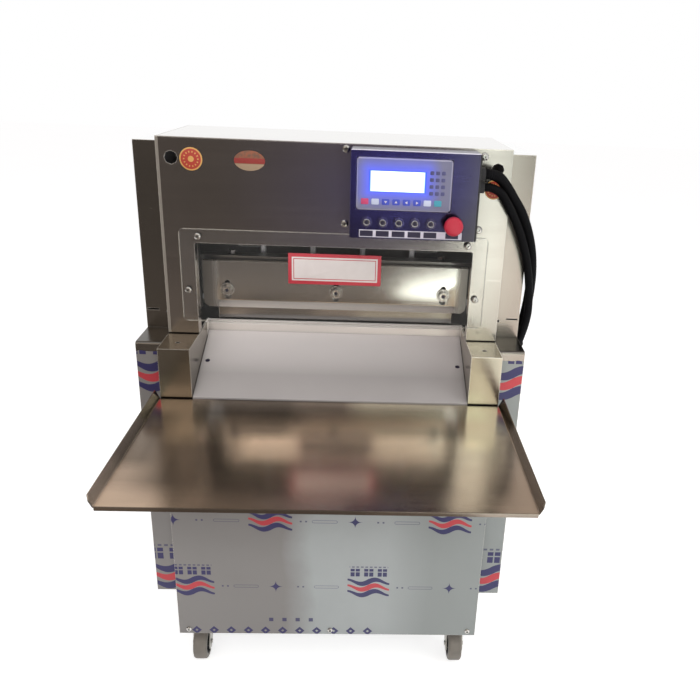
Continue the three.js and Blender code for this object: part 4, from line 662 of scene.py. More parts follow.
boxPatches = [
    dict(X=(0.2545, None), tint=(0.02, 0.02, 0.022), metal=0.2, rough=0.45),
    # painted shade, dark blue, on the top face
    dict(Z=(boxHigh[2] - 0.0006, None), tint=(0.06, 0.055, 0.12)),
    # painted highlight along the top face's front edge
    dict(Y=(None, boxLow[1] + 0.016), Z=(boxHigh[2] - 0.0008, None), tint=(0.80, 0.77, 0.92), metal=0.4),
]
holderPaintedLight = [
    # painted shade on the holder's left end, painted light on its right end
    dict(X=(None, -0.245), soft=0.008, tint=(0.225, 0.20, 0.172), metal=0.25, rough=0.3),
    dict(X=(0.252, None), soft=0.008, tint=(0.55, 0.54, 0.47), metal=0.25, rough=0.3),
]
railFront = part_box("left_guide_rail")[0][1] + 0.0015
railPatches = [dict(Y=(None, railFront), tint=(0.36, 0.34, 0.32), metal=0.3)]
steel = {name: makeSteel(name) for name in ("bed", "machined", "carrier", "chrome", "bolt", "screw", "zinc")}
steel["head"] = makeSteel("head", headPaintedEdges, headPaintedGlow, True, ownShade)
steel["outlet"] = makeSteel("outlet", outletPatches)
steel["tray"] = makeSteel("tray", trayPaintedReflections)
steel["box"] = makeSteel("box", boxPatches, boxPaintedGlow)
steel["holder"] = makeSteel("holder", holderPaintedLight, shade=ownShade)
steel["rod"] = makeSteel("rod", shade=ownShade)
steel["rail"] = makeSteel("machined", railPatches, shade=ownShade)
steel["blade"] = makeSteel("blade", shade=ownShade)
steel["feedBed"] = makeSteel("bed", bedPatches)

filmLook = dict(
    film=(0.362, 0.386, 0.388), thin=(0.336, 0.358, 0.36), warm=(0.222, 0.212, 0.205),
    cool=(0.265, 0.285, 0.28), warmFade=(-0.070, -0.005), coolFade=(0.15, 0.24), rough=0.30,
    navy=(0.022, 0.018, 0.10), navyInk=0.93, red=(0.50, 0.03, 0.045), redInk=0.9,
    bare=(0.262, 0.244, 0.220), bareShade=(0.228, 0.211, 0.190), bareRight=(0.36, 0.33, 0.30),
    bareRough=(0.22, 0.28), metal=0.30, rim=0.55, rimMetal=0.5, shelfDim=-0.45, smearRough=0.2,
    stretch=(22, 22, 900), cloud=3.0, smearScale=14.0, smear=0.6, wander=0.05, tear=0.012,
    wrinkle=0.0012, wrinkleStrength=0.25,
)


# Sheet under printed protective film; from bareFrom upwards the film is peeled off
def makeFilmedSteel(name, bareFrom, layout, shade):
    look = SimpleNamespace(**filmLook)
    material, graph, place = newMaterial(name, look.film)
    spots = place.split()
    start, foot, scale, rowShift = layout
    printed = graph.use(filmPrint, {"Across": (spots["X"] + spots["Y"] - start) * scale,
                                    "Up": (spots["Z"] - foot) * scale, "Row Shift": rowShift})
    grain = graph.use(sheetGrain, {"Vector": place, "Stretch": look.stretch, "Cloud Scale": look.cloud})
    marks = graph.use(smears, {"Vector": place, "Scale": look.smearScale, "Amount": look.smear})
    edges = graph.use(shade)
    wrinkles = place.noise(6.0, 4.0, 0.6)
    wander = wrinkles.timesPlus(look.wander, spots["X"])
    film = graph.blend(wrinkles.between(0.35, 0.65), look.thin, look.film)
    # painted reflection: darker and warmer towards the left, darker towards the right
    film = graph.blend(wander.between(*look.warmFade, 1.0, 0.0), film, look.warm)
    film = graph.blend(wander.between(*look.coolFade), film, look.cool)
    film = graph.blend(printed["Navy"] * look.navyInk, film, look.navy)
    film = graph.blend(printed["Red"] * look.redInk, film, look.red)
    peeled = spots["Z"] > place.noise(28.0, 3.0).timesPlus(look.tear, bareFrom - look.tear / 2)
    bare = graph.blend(grain["Cloud"], look.bareShade, look.bare)
    # painted light: the bare steel on the right is paler
    bare = graph.blend(spots["X"] > 0.0, bare, look.bareRight)
    bare, bareRough = paintedRoofHighlight(graph, place, bare, grain["Lines"].between(*lineFade, *look.bareRough))
    colour = graph.blend(peeled, film, bare)
    # painted highlight: pale and less metallic along edges and rims
    colour = graph.blend(edges["Edge"] * look.rim, colour, paintedEdgeHighlight)
    paintedShelf = (graph.facingUp() > roofHighlightLook["facing"]) * (spots["Z"] < roofHighlightLook["level"])
    # painted shade: darker in corners and gaps, and on up-facing shelves below the roof level
    paintedShade = edges["Open"].timesPlus(wearAndPaintedShade["open"], wearAndPaintedShade["shut"]) * paintedShelf.timesPlus(look.shelfDim, 1.0)
    return finishMaterial(material, graph, {
        "Base Color": colour.scaled(paintedShade),
        "Metallic": peeled.between(0, 1, look.metal, 1.0) * (1.0 - edges["Edge"] * look.rimMetal),
        "Roughness": graph.mix(peeled, marks["Smear"].timesPlus(look.smearRough, look.rough), bareRough),
    }, (wrinkles * (1.0 - peeled), look.wrinkle, look.wrinkleStrength))


# Where a mark's column starts, where its row starts, the print's scale and its row shift
def printLayout(column, row, scale, rowShift):
    halfAcross, halfUp = printLook["pitchAcross"] / 2, printLook["pitchUp"] / 2
    return column - halfAcross / scale, row - halfUp / scale, scale, rowShift


# The covers' film ends at peeledFrom; the front panel keeps all of its film
peeledFrom, abovePanel = 0.748, 2.0
filmedPanel = makeFilmedSteel("filmedPanel", abovePanel, printLayout(-0.121, 0.227, 1.0, 0.446), ownShade)
filmedCover = makeFilmedSteel("filmedCover", peeledFrom, printLayout(0.186, 0.700, 0.70, 0.5), edgeShade)
filmedLeftCover = makeFilmedSteel("filmedLeftCover", peeledFrom, printLayout(-0.500, 0.700, 0.70, 0.5),
                                  edgeShade)


# Painted, cast and moulded finishes; what a row leaves out is as in plainLook
plainLook = dict(rough=(0.35, 0.5), metal=0.0, scale=900.0, bump=0.00002, sheen=0.5)
solidLooks = {
    "framePaint": dict(tint=(0.30, 0.31, 0.32), shade=(0.22, 0.225, 0.235), rough=(0.36, 0.52),
                       metal=0.2, scale=500.0, bump=0.00006),
    "castIron": dict(tint=(0.15, 0.16, 0.17), shade=(0.09, 0.095, 0.10), rough=(0.45, 0.65),
                     metal=0.75, scale=420.0, bump=0.00016),
    "motorPaint": dict(tint=(0.11, 0.19, 0.25), shade=(0.07, 0.13, 0.175), metal=0.1, scale=480.0,
                       bump=0.0001),
    "blackPaint": dict(tint=(0.030, 0.030, 0.032), shade=(0.018, 0.018, 0.02), metal=0.1, scale=500.0,
                       bump=0.00008),
    "rubber": dict(tint=(0.028, 0.028, 0.028), shade=(0.018, 0.018, 0.018), rough=(0.6, 0.8), scale=700.0,
                   bump=0.0001),
    "tyre": dict(tint=(0.26, 0.235, 0.205), shade=(0.16, 0.145, 0.125), rough=(0.4, 0.62), scale=600.0,
                 bump=0.00012),
    "board": dict(tint=(0.365, 0.343, 0.338), shade=(0.345, 0.324, 0.319), rough=(0.38, 0.5), scale=300.0,
                  bump=0.00003, high=(0.695, 0.745), highTint=(0.84, 0.79, 0.78)),
    "conduit": dict(tint=(0.006, 0.006, 0.007), shade=(0.004, 0.004, 0.005), rough=(0.42, 0.58), scale=800.0,
                    bump=0.00004, sheen=0.07),
    "stopRed": dict(tint=(0.50, 0.016, 0.045), shade=(0.42, 0.012, 0.034), rough=(0.30, 0.42), bump=0.00003),
    "keyGrey": dict(tint=(0.085, 0.085, 0.21), shade=(0.065, 0.065, 0.17)),
    "keyBlue": dict(tint=(0.045, 0.075, 0.50), shade=(0.035, 0.055, 0.42)),
    "keyRed": dict(tint=(0.56, 0.05, 0.16), shade=(0.48, 0.04, 0.13)),
    "keyTeal": dict(tint=(0.05, 0.32, 0.42), shade=(0.04, 0.26, 0.35)),
    "keyPale": dict(tint=(0.52, 0.56, 0.72), shade=(0.45, 0.49, 0.65)),
    "ink": dict(tint=(0.020, 0.016, 0.045), shade=(0.014, 0.011, 0.032), bump=0.00001),
    "palePrint": dict(tint=(0.60, 0.57, 0.66), shade=(0.52, 0.49, 0.58), bump=0.00001),
    "grease": dict(tint=(0.66, 0.65, 0.62), shade=(0.40, 0.39, 0.36), rough=(0.18, 0.34), scale=260.0,
                   bump=0.0004),
}


def makeSolid(name):
    look = dict(plainLook, **solidLooks[name])
    material, graph, place = newMaterial(name, look["tint"])
    grain = graph.use(mouldGrain, {"Vector": place, "Scale": look["scale"]})
    marks = graph.use(smears, {"Vector": place, "Scale": look["scale"] * 0.05, "Amount": 0.6})
    colour = graph.blend(grain["Mottle"], look["shade"], look["tint"])
    # painted light: the board is paler towards its top
    if "high" in look:
        colour = graph.blend(place.split()["Z"].between(*look["high"]), colour, look["highTint"])
    # painted shade: darker in corners and gaps
    paintedShade = graph.use(edgeShade)["Open"].timesPlus(0.55, 0.45)
    rough = grain["Mottle"].between(0, 1, *look["rough"])
    return finishMaterial(material, graph, {
        "Base Color": colour.scaled(paintedShade), "Metallic": look["metal"], "Specular IOR Level": look["sheen"],
        "Roughness": marks["Smear"].timesPlus(0.1, rough),
    }, (grain["Height"], look["bump"], 0.7))


solid = {name: makeSolid(name) for name in solidLooks}

# Clear acrylic with polished edges
guardLook = dict(clear=(0.95, 0.96, 0.95), edge=(0.60, 0.57, 0.50), edgeBand=0.0012, edgeAlpha=0.32,
                 bend=1.49)


def makeAcrylic():
    look = guardLook
    material, graph, place = newMaterial("clearAcrylic", look["clear"])
    spots = place.split()
    centre, low, high = boxMiddle("blade_guard")
    inner = (high - low) / 2 - Vector((look["edgeBand"],) * 3)
    atEdge = (abs(spots["X"] - centre.x) > inner.x).larger(abs(spots["Z"] - centre.z) > inner.z)
    marks = graph.use(smears, {"Vector": place, "Scale": 12.0, "Amount": 0.5})
    return finishMaterial(material, graph, {
        "Base Color": graph.blend(atEdge, look["clear"], look["edge"]),
        "Roughness": marks["Smear"].timesPlus(0.10, 0.015),
        "Alpha": atEdge.timesPlus(look["edgeAlpha"], marks["Smear"].timesPlus(0.012, 0.010)),
        "Specular IOR Level": 0.3, "IOR": look["bend"]})


# Stickers about their own middle: a gold sun on red, or a red bar over a worn pale oval
stickerLook = dict(
    red=(0.40, 0.022, 0.014), gold=(0.62, 0.34, 0.09), rim=0.88, hub=0.26, beads=14.0, beadRing=0.62,
    beadHalf=0.07, worn=((0.11, 0.065, 0.045), (0.26, 0.075, 0.035)), pale=(0.36, 0.26, 0.17),
    paleBelow=-0.32, bar=(0.27, 0.016, 0.018), barHalf=0.26, speck=(0.25, 0.12, 0.06),
)


def makeSticker(name, halfAcross, halfUp, oval):
    look = SimpleNamespace(**stickerLook)
    material, graph, place = newMaterial(name, look.red)
    spots = place.split()
    across, up = spots["X"] / halfAcross, spots["Z"] / halfUp
    if oval:
        colour = graph.blend(place.noise(160.0, 3.0).between(0.35, 0.6), *look.worn)
        colour = graph.blend(up < look.paleBelow, colour, look.pale)
        colour = graph.blend(abs(up + 0.02) < look.barHalf, colour, look.bar)
    else:
        out = (across * across + up * up).root()
        beads = (up.angleOver(across) * look.beads).cosine() > 0.35
        colour = graph.blend(out > look.rim, look.red, look.gold)
        colour = graph.blend(out < look.hub, colour, look.gold)
        colour = graph.blend(beads * (abs(out - look.beadRing) < look.beadHalf), colour, look.gold)
    speck = place.noise(700.0, 3.0)
    return finishMaterial(material, graph, {
        "Base Color": graph.blend(speck * 0.25, colour, look.speck),
        "Roughness": speck.between(0.3, 0.7, 0.32, 0.5)})


# Plate with a plain red border and a thin red line inside it
placardLook = dict(white=(0.72, 0.665, 0.65), cream=(0.66, 0.60, 0.585), red=(0.50, 0.035, 0.055),
                   border=0.0068, lineShare=1.55, line=0.0007)


def makePlacardFace(halfAcross, halfUp):
    look = SimpleNamespace(**placardLook)
    material, graph, place = newMaterial("placardFace", look.white)
    spots = place.split()
    inward = (abs(spots["X"]) - halfAcross).larger(abs(spots["Z"]) - halfUp) * -1.0
    red = (inward < look.border).larger(abs(inward - look.border * look.lineShare) < look.line)
    cloud = place.noise(30.0, 3.0)
    paper = graph.blend(cloud.between(0.3, 0.7), look.cream, look.white)
    return finishMaterial(material, graph, {
        "Base Color": graph.blend(red, paper, look.red), "Roughness": cloud.between(0.3, 0.7, 0.28, 0.42)})


# Display membrane: lilac grey with a pale rim, and round the screen a painted blue glow of the lit screen,
# in its colour and in an emission
displayLook = dict(grey=(0.172, 0.172, 0.268), haze=(0.09, 0.11, 0.72), hazeReach=0.032, frame=0.0022,
                   frameTint=(0.46, 0.44, 0.56), glow=(0.05, 0.09, 0.55), glowStrength=0.52)


def makeDisplayFace(glowX, glowZ, halfX, halfZ):
    look = SimpleNamespace(**displayLook)
    material, graph, place = newMaterial("displayFace", look.grey)
    spots = place.split()
    aside = (abs(spots["X"] - glowX) - halfX).larger(0.0)
    above = (abs(spots["Z"] - glowZ) - halfZ).larger(0.0)
    # painted glow: bluish round the screen, fading outwards, also given off as emission
    haze = (aside * aside + above * above).root().between(0, look.hazeReach, 1.0, 0.0) ** 1.6
    grain = graph.use(mouldGrain, {"Vector": place, "Scale": 1100.0})
    grey = graph.blend(grain["Mottle"], tuple(c * 0.9 for c in look.grey), look.grey)
    middle, low, high = boxMiddle("display_panel")
    half = (high - low) / 2
    outline = (abs(spots["X"] - middle.x) - half.x).larger(abs(spots["Z"] - middle.z) - half.z)
    grey = graph.blend((outline > -look.frame) * 0.6, grey, look.frameTint)
    return finishMaterial(material, graph, {
        "Base Color": graph.blend(haze, grey, look.haze),
        "Emission Color": graph.blend(haze, (0, 0, 0), look.glow), "Emission Strength": look.glowStrength,
        "Roughness": grain["Mottle"].between(0, 1, 0.34, 0.46)}, (grain["Height"], 0.00002, 0.6))


screenLook = dict(lit=(0.80, 0.93, 1.0), rim=(0.02, 0.09, 0.80), rimFade=(0.90, 0.97), strength=1.15)


def makeScreenGlow(glowX, glowZ, halfX, halfZ):
    look = SimpleNamespace(**screenLook)
    material, graph, place = newMaterial("screenGlow", look.lit)
    spots = place.split()
    out = (abs(spots["X"] - glowX) / halfX).larger(abs(spots["Z"] - glowZ) / halfZ)
    glow = graph.blend(out.between(*look.rimFade), look.lit, look.rim)
    return finishMaterial(material, graph, {
        "Base Color": glow, "Emission Color": glow, "Emission Strength": look.strength,
        "Roughness": place.noise(420.0, 1.0).between(0.3, 0.7, 0.10, 0.2)})


print("materials made")


# Conduits, on the routes of their solids
conduitLook = {
    "outer": dict(diameter=0.020, length=0.4551, points=[
        (0.2685, -0.1613, 1.1010), (0.2800, -0.1613, 1.1010), (0.2960, -0.1543, 1.0950),
        (0.3110, -0.1423, 1.0800), (0.3310, -0.1283, 1.0540), (0.3510, -0.1163, 1.0260),
        (0.3690, -0.1043, 0.9890), (0.3825, -0.0943, 0.9470), (0.3894, -0.0868, 0.9050),
        (0.3915, -0.0793, 0.8660), (0.3920, -0.0653, 0.8240), (0.3925, -0.0423, 0.7860),
        (0.3925, -0.0143, 0.7600), (0.3925, 0.0097, 0.7420)]),
    "inner": dict(diameter=0.016, length=0.4149, points=[
        (0.2685, -0.1613, 1.0780), (0.2800, -0.1613, 1.0780), (0.2980, -0.1583, 1.0700),
        (0.3150, -0.1523, 1.0490), (0.3330, -0.1413, 1.0200), (0.3500, -0.1293, 0.9880),
        (0.3640, -0.1183, 0.9550), (0.3740, -0.1103, 0.9250), (0.3815, -0.1043, 0.8930),
        (0.3870, -0.0983, 0.8580), (0.3905, -0.0903, 0.8240), (0.3915, -0.0733, 0.7900),
        (0.3915, -0.0523, 0.7600), (0.3915, -0.0323, 0.7350)]),
}
ribs = dict(pitch=0.0032, depth=0.0011, shares=(0, 0.25, 1, 0.25))


def makeConduit(side, look):
    points = smoothPath(look["points"], ribs["pitch"] / len(ribs["shares"]))
    depths = [ribs["depth"] * share for share in ribs["shares"]]
    radii = [look["diameter"] / 2 - depths[i % len(depths)] for i in range(len(points))]
    mesh = sweptMesh(side + "Conduit", points, radii, 20, 60)
    tube = pieceFrom(side + "Conduit", mesh, solid["conduit"], "frame",
                     ("conduit_" + side,))


for side, look in conduitLook.items():
    makeConduit(side, look)
print("conduits made")


# A node's own form with eased edges and smooth rounds, as a modifier stack that leaves its mesh alone
easedAngle = math.radians(34)


def makeEasing():
    graph = Graph(bpy.data.node_groups.new("easedForm", "GeometryNodeTree"))
    for way in ("INPUT", "OUTPUT"):
        graph.tree.interface.new_socket(name="Geometry", in_out=way, socket_type="NodeSocketGeometry")
    angle = graph.put("GeometryNodeInputMeshEdgeAngle")
    soft = graph.put("FunctionNodeCompare", {"data_type": "FLOAT", "operation": "LESS_THAN"},
                     {0: angle, 1: easedAngle})
    form = graph.put("NodeGroupInput")
    for domain, smooth in (("FACE", True), ("EDGE", soft)):
        form = graph.put("GeometryNodeSetShadeSmooth", {"domain": domain}, {
            "Geometry": form, "Shade Smooth": smooth})
    graph.fill(graph.tree.nodes.new("NodeGroupOutput"), {0: form})
    return graph.tree


easing = makeEasing()


def dress(name, finish, bevel):
    piece = nodes[name]
    if not piece.material_slots:
        piece.data.materials.append(finish)
    for slot in piece.material_slots:
        slot.material = finish
    weld = piece.modifiers.new("weld", "WELD")
    weld.merge_threshold = 1e-5
    flat = piece.modifiers.new("flat", "DECIMATE")
    flat.decimate_type = "DISSOLVE"
    flat.angle_limit = math.radians(0.6)
    eased = piece.modifiers.new("eased", "BEVEL")
    eased.width = bevel
    eased.segments = 2
    eased.limit_method = "ANGLE"
    eased.angle_limit = easedAngle
    form = piece.modifiers.new("form", "NODES")
    form.node_group = easing
    level = piece.modifiers.new("level", "WEIGHTED_NORMAL")
    level.keep_sharp = True
    level.weight = 100


# Finish of each node and the width of its eased edges
dressed = {
    "head": {"head_shell": 0.0008}, "tray": {"discharge_tray": 0.0006}, "outlet": {"outlet_frame": 0.0008},
    "holder": {"blade_holder": 0.0009}, "blade": {"blade": 0.0003}, "box": {"control_box": 0.0009},
    "carrier": {"blade_carrier": 0.0008, "press_beam": 0.0008}, "chrome": {"guide_rod": 0.0006},
    "rail": {"left_guide_rail": 0.0006, "right_guide_rail": 0.0006},
    "machined": {"crankshaft": 0.0006, "left_crank_disc": 0.001, "right_crank_disc": 0.001,
                 "left_connecting_rod": 0.0008, "right_connecting_rod": 0.0008},
    "feedBed": {"feed_table": 0.0006}, "bed": {"pusher": 0.0006, "back_panel": 0.0006},
    "rod": {"press_foot_%d" % i: 0.0005 for i in range(1, 5)},
    "zinc": {"caster_fork_%d" % i: 0.0006 for i in range(1, 5)},
}
coated = {
    "framePaint": {"base_frame": 0.001, "left_side_frame": 0.001, "right_side_frame": 0.001},
    "castIron": {"flywheel_pulley": 0.001, "motor_pulley": 0.0008}, "motorPaint": {"drive_motor": 0.001},
    "blackPaint": {"feed_motor": 0.0012}, "rubber": {"drive_belt": 0.0008},
    "board": {"outlet_board": 0.0008}, "conduit": {"elbow_outer": 0.0008, "elbow_inner": 0.0008},
}
for finishes, table in ((steel, dressed), (solid, coated)):
    for look, bevels in table.items():
        for name, bevel in bevels.items():
            dress(name, finishes[look], bevel)
dress("front_panel", filmedPanel, 0.0008)
dress("left_side_cover", filmedLeftCover, 0.0008)
dress("right_side_cover", filmedCover, 0.0008)
dress("blade_guard", makeAcrylic(), 0.0004)
print("nodes dressed")


# Where the back of a round piece is that stands out to the front, its radius and its depth
def roundBox(name):
    middle, low, high = boxMiddle(name)
    return (middle.x, high.y, middle.z), (high.x - low.x) / 2, high.y - low.y


# Push buttons: chrome caps with a dark well round a small dome
buttonCap = dict(well=0.62, dome=0.42, wellDepth=0.0016)


def makePushButton(index):
    name = "push_button_%d" % index
    foot, radius, depth = roundBox(name)
    well, dome = radius * buttonCap["well"], radius * buttonCap["dome"]
    floor = depth - buttonCap["wellDepth"]
    cap = turnedMesh("pushCap%d" % index, [
        (0, 0), (radius, 0), (radius, depth - 0.0012), (radius * 0.93, depth - 0.0003),
        (radius * 0.88, depth), (well + 0.0004, depth), (well, depth - 0.0004), (well, floor), (0, floor)],
        "-y", foot)
    pieceFrom("pushCap%d" % index, cap, steel["chrome"], "button_%d" % index, (name,))
    lens = turnedMesh("pushLens%d" % index, [
        (0, depth - 0.0018), (dome * 1.3, depth - 0.0018), (dome * 1.3, depth - 0.0012),
        (dome, depth - 0.0007), (dome * 0.6, depth - 0.0003), (0, depth - 0.0002)], "-y", foot)
    pieceFrom("pushLens%d" % index, lens, solid["ink"], "button_%d" % index)


# Stop button: red mushroom head with a soft crown; rows: shares of its radius and depths below its top
stopHead = dict(stem=0.009, underside=0.0137, rows=(
    (0.84, 0.0136), (0.95, 0.0130), (0.995, 0.0117), (1, 0.0102), (0.992, 0.0060), (0.955, 0.0034),
    (0.87, 0.0016), (0.72, 0.0006), (0.4, 0.0001), (0, 0)))


def makeStopButton():
    foot, radius, depth = roundBox("stop_button")
    profile = [(0, 0), (stopHead["stem"], 0), (stopHead["stem"], depth - stopHead["underside"])]
    profile += [(radius * share, depth - below) for share, below in stopHead["rows"]]
    mesh = turnedMesh("stopHead", profile, "-y", foot, 64)
    pieceFrom("stopHead", mesh, solid["stopRed"], "stop", ("stop_button",))


# Lead screw: one rolled thread between plain journals
threadLook = dict(pitch=0.010, depth=0.0016, journal=0.0125, step=0.0008, sides=28)


def makeLeadScrew():
    middle, low, high = boxMiddle("lead_screw")
    radius = (high.x - low.x) / 2
    first, last = low.y + threadLook["journal"], high.y - threadLook["journal"]
    count = round((last - first) / threadLook["step"])
    sides = threadLook["sides"]
    points = []
    for i in range(count + 1):
        y = first + (last - first) * i / count
        for k in range(sides):
            angle = 2 * math.pi * k / sides
            turn = (angle / (2 * math.pi) - y / threadLook["pitch"]) % 1.0
            ramp = min(abs(turn - 0.5) * 5, 1.6)
            reach = radius - threadLook["depth"] * min(max(1.3 - ramp, 0), 1)
            points.append((middle.x + reach * math.cos(angle), y, middle.z + reach * math.sin(angle)))
    parts = [meshFrom("screwThread", points, ringFaces(count + 1, sides), 50)]
    neck, ease, cap, half = radius * 0.7, 0.0006, radius - 0.0004, 0.0001
    for y0, y1 in ((low.y, first), (last, high.y)):
        profile = [(0, 0), (neck - ease, 0), (neck, ease), (neck, y1 - y0), (0, y1 - y0)]
        parts.append(turnedMesh("screwEnd", profile, "+y", (middle.x, y0, middle.z), 32))
    for y in (first, last):
        profile = [(0, -half), (cap, -half), (cap, half), (0, half)]
        parts.append(turnedMesh("screwCap", profile, "+y", (middle.x, y, middle.z), 32))
    whole = joinedMesh("leadScrew", parts)
    pieceFrom("leadScrew", whole, steel["chrome"], "screw", ("lead_screw",))


# Blade bolts: socket heads over plain washers
boltHead = dict(shank=0.005, head=2 / 3, socket=0.30, socketDepth=0.0038)


def makeBladeBolt(index):
    name = "blade_bolt_%d" % index
    foot, washer, face = roundBox(name)
    shank, head, socket = boltHead["shank"], washer * boltHead["head"], washer * boltHead["socket"]
    mesh = turnedMesh(name + "Fine", [
        (0, 0), (shank, 0), (shank, face - 0.011), (washer * 0.97, face - 0.011), (washer, face - 0.0104),
        (washer, face - 0.0086), (washer * 0.96, face - 0.008), (head, face - 0.008),
        (head, face - 0.0009), (head * 0.93, face - 0.0001), (head * 0.80, face), (socket * 1.25, face),
        (socket, face - 0.0003, "hex"), (socket, face - boltHead["socketDepth"], "hex"),
        (0, face - 0.0042)], "-y", foot)
    pieceFrom(name + "Fine", mesh, steel["bolt"], "blade_group", (name,))
    # a black disc in the socket's floor: painted shade in the recess
    inner, under, over = socket * 0.98, face - 0.0040, face - 0.0030
    disc = [(0, under), (inner, under), (inner, over), (0, over)]
    floor = turnedMesh(name + "Socket", disc, "-y", foot, 24)
    pieceFrom(name + "Socket", floor, solid["ink"], "blade_group")


# Caster wheels: moulded tread on a dished core with a turned hub; radii with insets from the side faces
wheelLook = dict(
    rim=0.027, tread=((0.0042, 0), (0.0016, 0.0012), (0.0003, 0.0038), (0, 0.0070)),
    core=((0.0056, 0), (0.0100, 0), (0.0110, 0.0010), (0.0114, 0.0060), (0.0150, 0.0074), (0.0230, 0.0070),
          (0.0262, 0.0020), (0.0272, 0.0006)),
)


def makeCasterWheel(index):
    name = "caster_wheel_%d" % index
    middle, low, high = boxMiddle(name)
    radius, half = (high.z - low.z) / 2, (high.x - low.x) / 2
    tread = [(wheelLook["rim"], 0)] + [(radius - drop, inset) for drop, inset in wheelLook["tread"]]
    looks = (("tread", tread, "tyre", 64, (name,)), ("core", list(wheelLook["core"]), "blackPaint", 48, ()))
    for part, rows, look, steps, replaced in looks:
        profile = [(r, inset - half) for r, inset in rows]
        profile += [(r, half - inset) for r, inset in reversed(rows)]
        mesh = turnedMesh("%s%d" % (part, index), profile + profile[:1], "+x", middle, steps, 50)
        pieceFrom("%s%d" % (part, index), mesh, solid[look], "wheel_%d" % index, replaced)


# Grease pushed out of the guide rails' grooves, lying on their front faces
greaseLook = dict(blobs=26, foot=0.815, height=0.135, inset=0.009, shape=(1.0, 0.5, 1.5, 1))


def makeGrease():
    for side, name in ((-1, "left"), (1, "right")):
        low, high = boxMiddle(name + "_guide_rail")[1:]
        x = low.x + greaseLook["inset"] if side > 0 else high.x - greaseLook["inset"]
        blobs = bmesh.new()
        for k in range(greaseLook["blobs"]):
            z = greaseLook["foot"] + greaseLook["height"] * k / (greaseLook["blobs"] - 1)
            wobble = noise.noise(Vector((k * 1.7, side * 3.1, 0.5)))
            size = 0.0022 + 0.0016 * abs(noise.noise(Vector((k * 2.3, 7.7, side))))
            shift = Vector((x + 0.0045 * wobble, low.y - 0.0002, z + 0.002 * wobble))
            placed = Matrix.Translation(shift) @ Matrix.Diagonal(greaseLook["shape"])
            bmesh.ops.create_icosphere(blobs, subdivisions=3, radius=size, matrix=placed)
        for vertex in blobs.verts:
            lift = noise.noise(vertex.co * 260)
            vertex.co += Vector((0.0010 * lift, -0.0006 * abs(lift), 0.0012 * lift))
        mesh = bpy.data.meshes.new(name + "Grease")
        blobs.to_mesh(mesh)
        blobs.free()
        mesh.shade_smooth()
        pieceFrom(name + "Grease", mesh, solid["grease"], "frame")


# Display panel: membrane front, lit screen, keypad and a row of function keys, some with arrows
displayPlan = dict(
    screenX=(0.0220, 0.1220), screenDown=(0.0585, 0.0215), screenGap=0.0003, screenIn=(0.0006, 0.0012),
    padColumns=(0.785, 0.845, 0.905), padRows=(0.75, 0.62, 0.49, 0.36), padHalf=(0.0034, 0.0032),
    keyHalf=(0.0066, 0.0052), keyRise=0.0006, keyStart=0.09, keyPitch=0.11, keyRow=0.17,
    keys=("keyRed", "keyPale", "keyBlue", "keyBlue", "keyBlue", "keyBlue", "keyPale", "keyTeal"),
    arrows={2: -90, 3: 90, 4: 180, 5: 0}, arrowRise=0.0002, arrowReach=0.0026, arrowBack=-0.0016,
)


def makeDisplay():
    plan = SimpleNamespace(**displayPlan)
    middle, low, high = boxMiddle("display_panel")
    width, height = high.x - low.x, high.z - low.z
    x0, x1 = (low.x + x for x in plan.screenX)
    z0, z1 = (high.z - z for z in plan.screenDown)
    screen = ((x0 + x1) / 2, (z0 + z1) / 2, (x1 - x0) / 2, (z1 - z0) / 2)
    dress("display_panel", makeDisplayFace(*screen), 0.0005)
    gap = plan.screenGap
    faces = (low.y + y for y in plan.screenIn)
    glow = slabMesh("screenGlow", x0 + gap, x1 - gap, z0 + gap, z1 - gap, *faces, 0.0008, 0)
    pieceFrom("screenGlow", glow, makeScreenGlow(*screen), "frame")

    def keyMesh(name, x, z, half, corner):
        top = low.y - plan.keyRise
        return slabMesh(name, x - half[0], x + half[0], z - half[1], z + half[1], top, low.y, corner, 0.0002)

    keys = [keyMesh("key", low.x + u * width, low.z + v * height, plan.padHalf, 0.0012)
            for u in plan.padColumns for v in plan.padRows]
    pieceFrom("keypad", joinedMesh("keypad", keys), solid["keyGrey"], "frame")
    for k, look in enumerate(plan.keys):
        x, z = low.x + (plan.keyStart + plan.keyPitch * k) * width, low.z + plan.keyRow * height
        mesh = keyMesh("functionKey%d" % k, x, z, plan.keyHalf, 0.0018)
        pieceFrom("functionKey%d" % k, mesh, solid[look], "frame")
        if k in plan.arrows:
            turn = Matrix.Rotation(math.radians(plan.arrows[k]), 2)
            reach, back = plan.arrowReach, plan.arrowBack
            tip = ((reach, 0), (back, reach), (back, -reach))
            ring = [Vector((x, z)) + turn @ Vector(corner) for corner in tip]
            levels = (low.y - plan.keyRise - plan.arrowRise, low.y - plan.keyRise)
            points = [(a, y, b) for y in levels for a, b in ring]
            mark = meshFrom("keyArrow%d" % k, points, [(0, 1, 2), (5, 4, 3)] + ringFaces(2, 3))
            pieceFrom("keyArrow%d" % k, mark, solid["palePrint"], "frame")


# Strip under the buttons with a dark tab below each of them
stripLook = dict(x=(0.0455, 0.2310), z=(0.9860, 0.9994), rise=0.0004, faceDepth=0.008,
                 tabZ=(0.9876, 0.9978), tabs=5, firstTab=0.0585, tabPitch=0.0287, lastTab=0.2130,
                 tabHalf=0.0116, tabRise=0.0002)


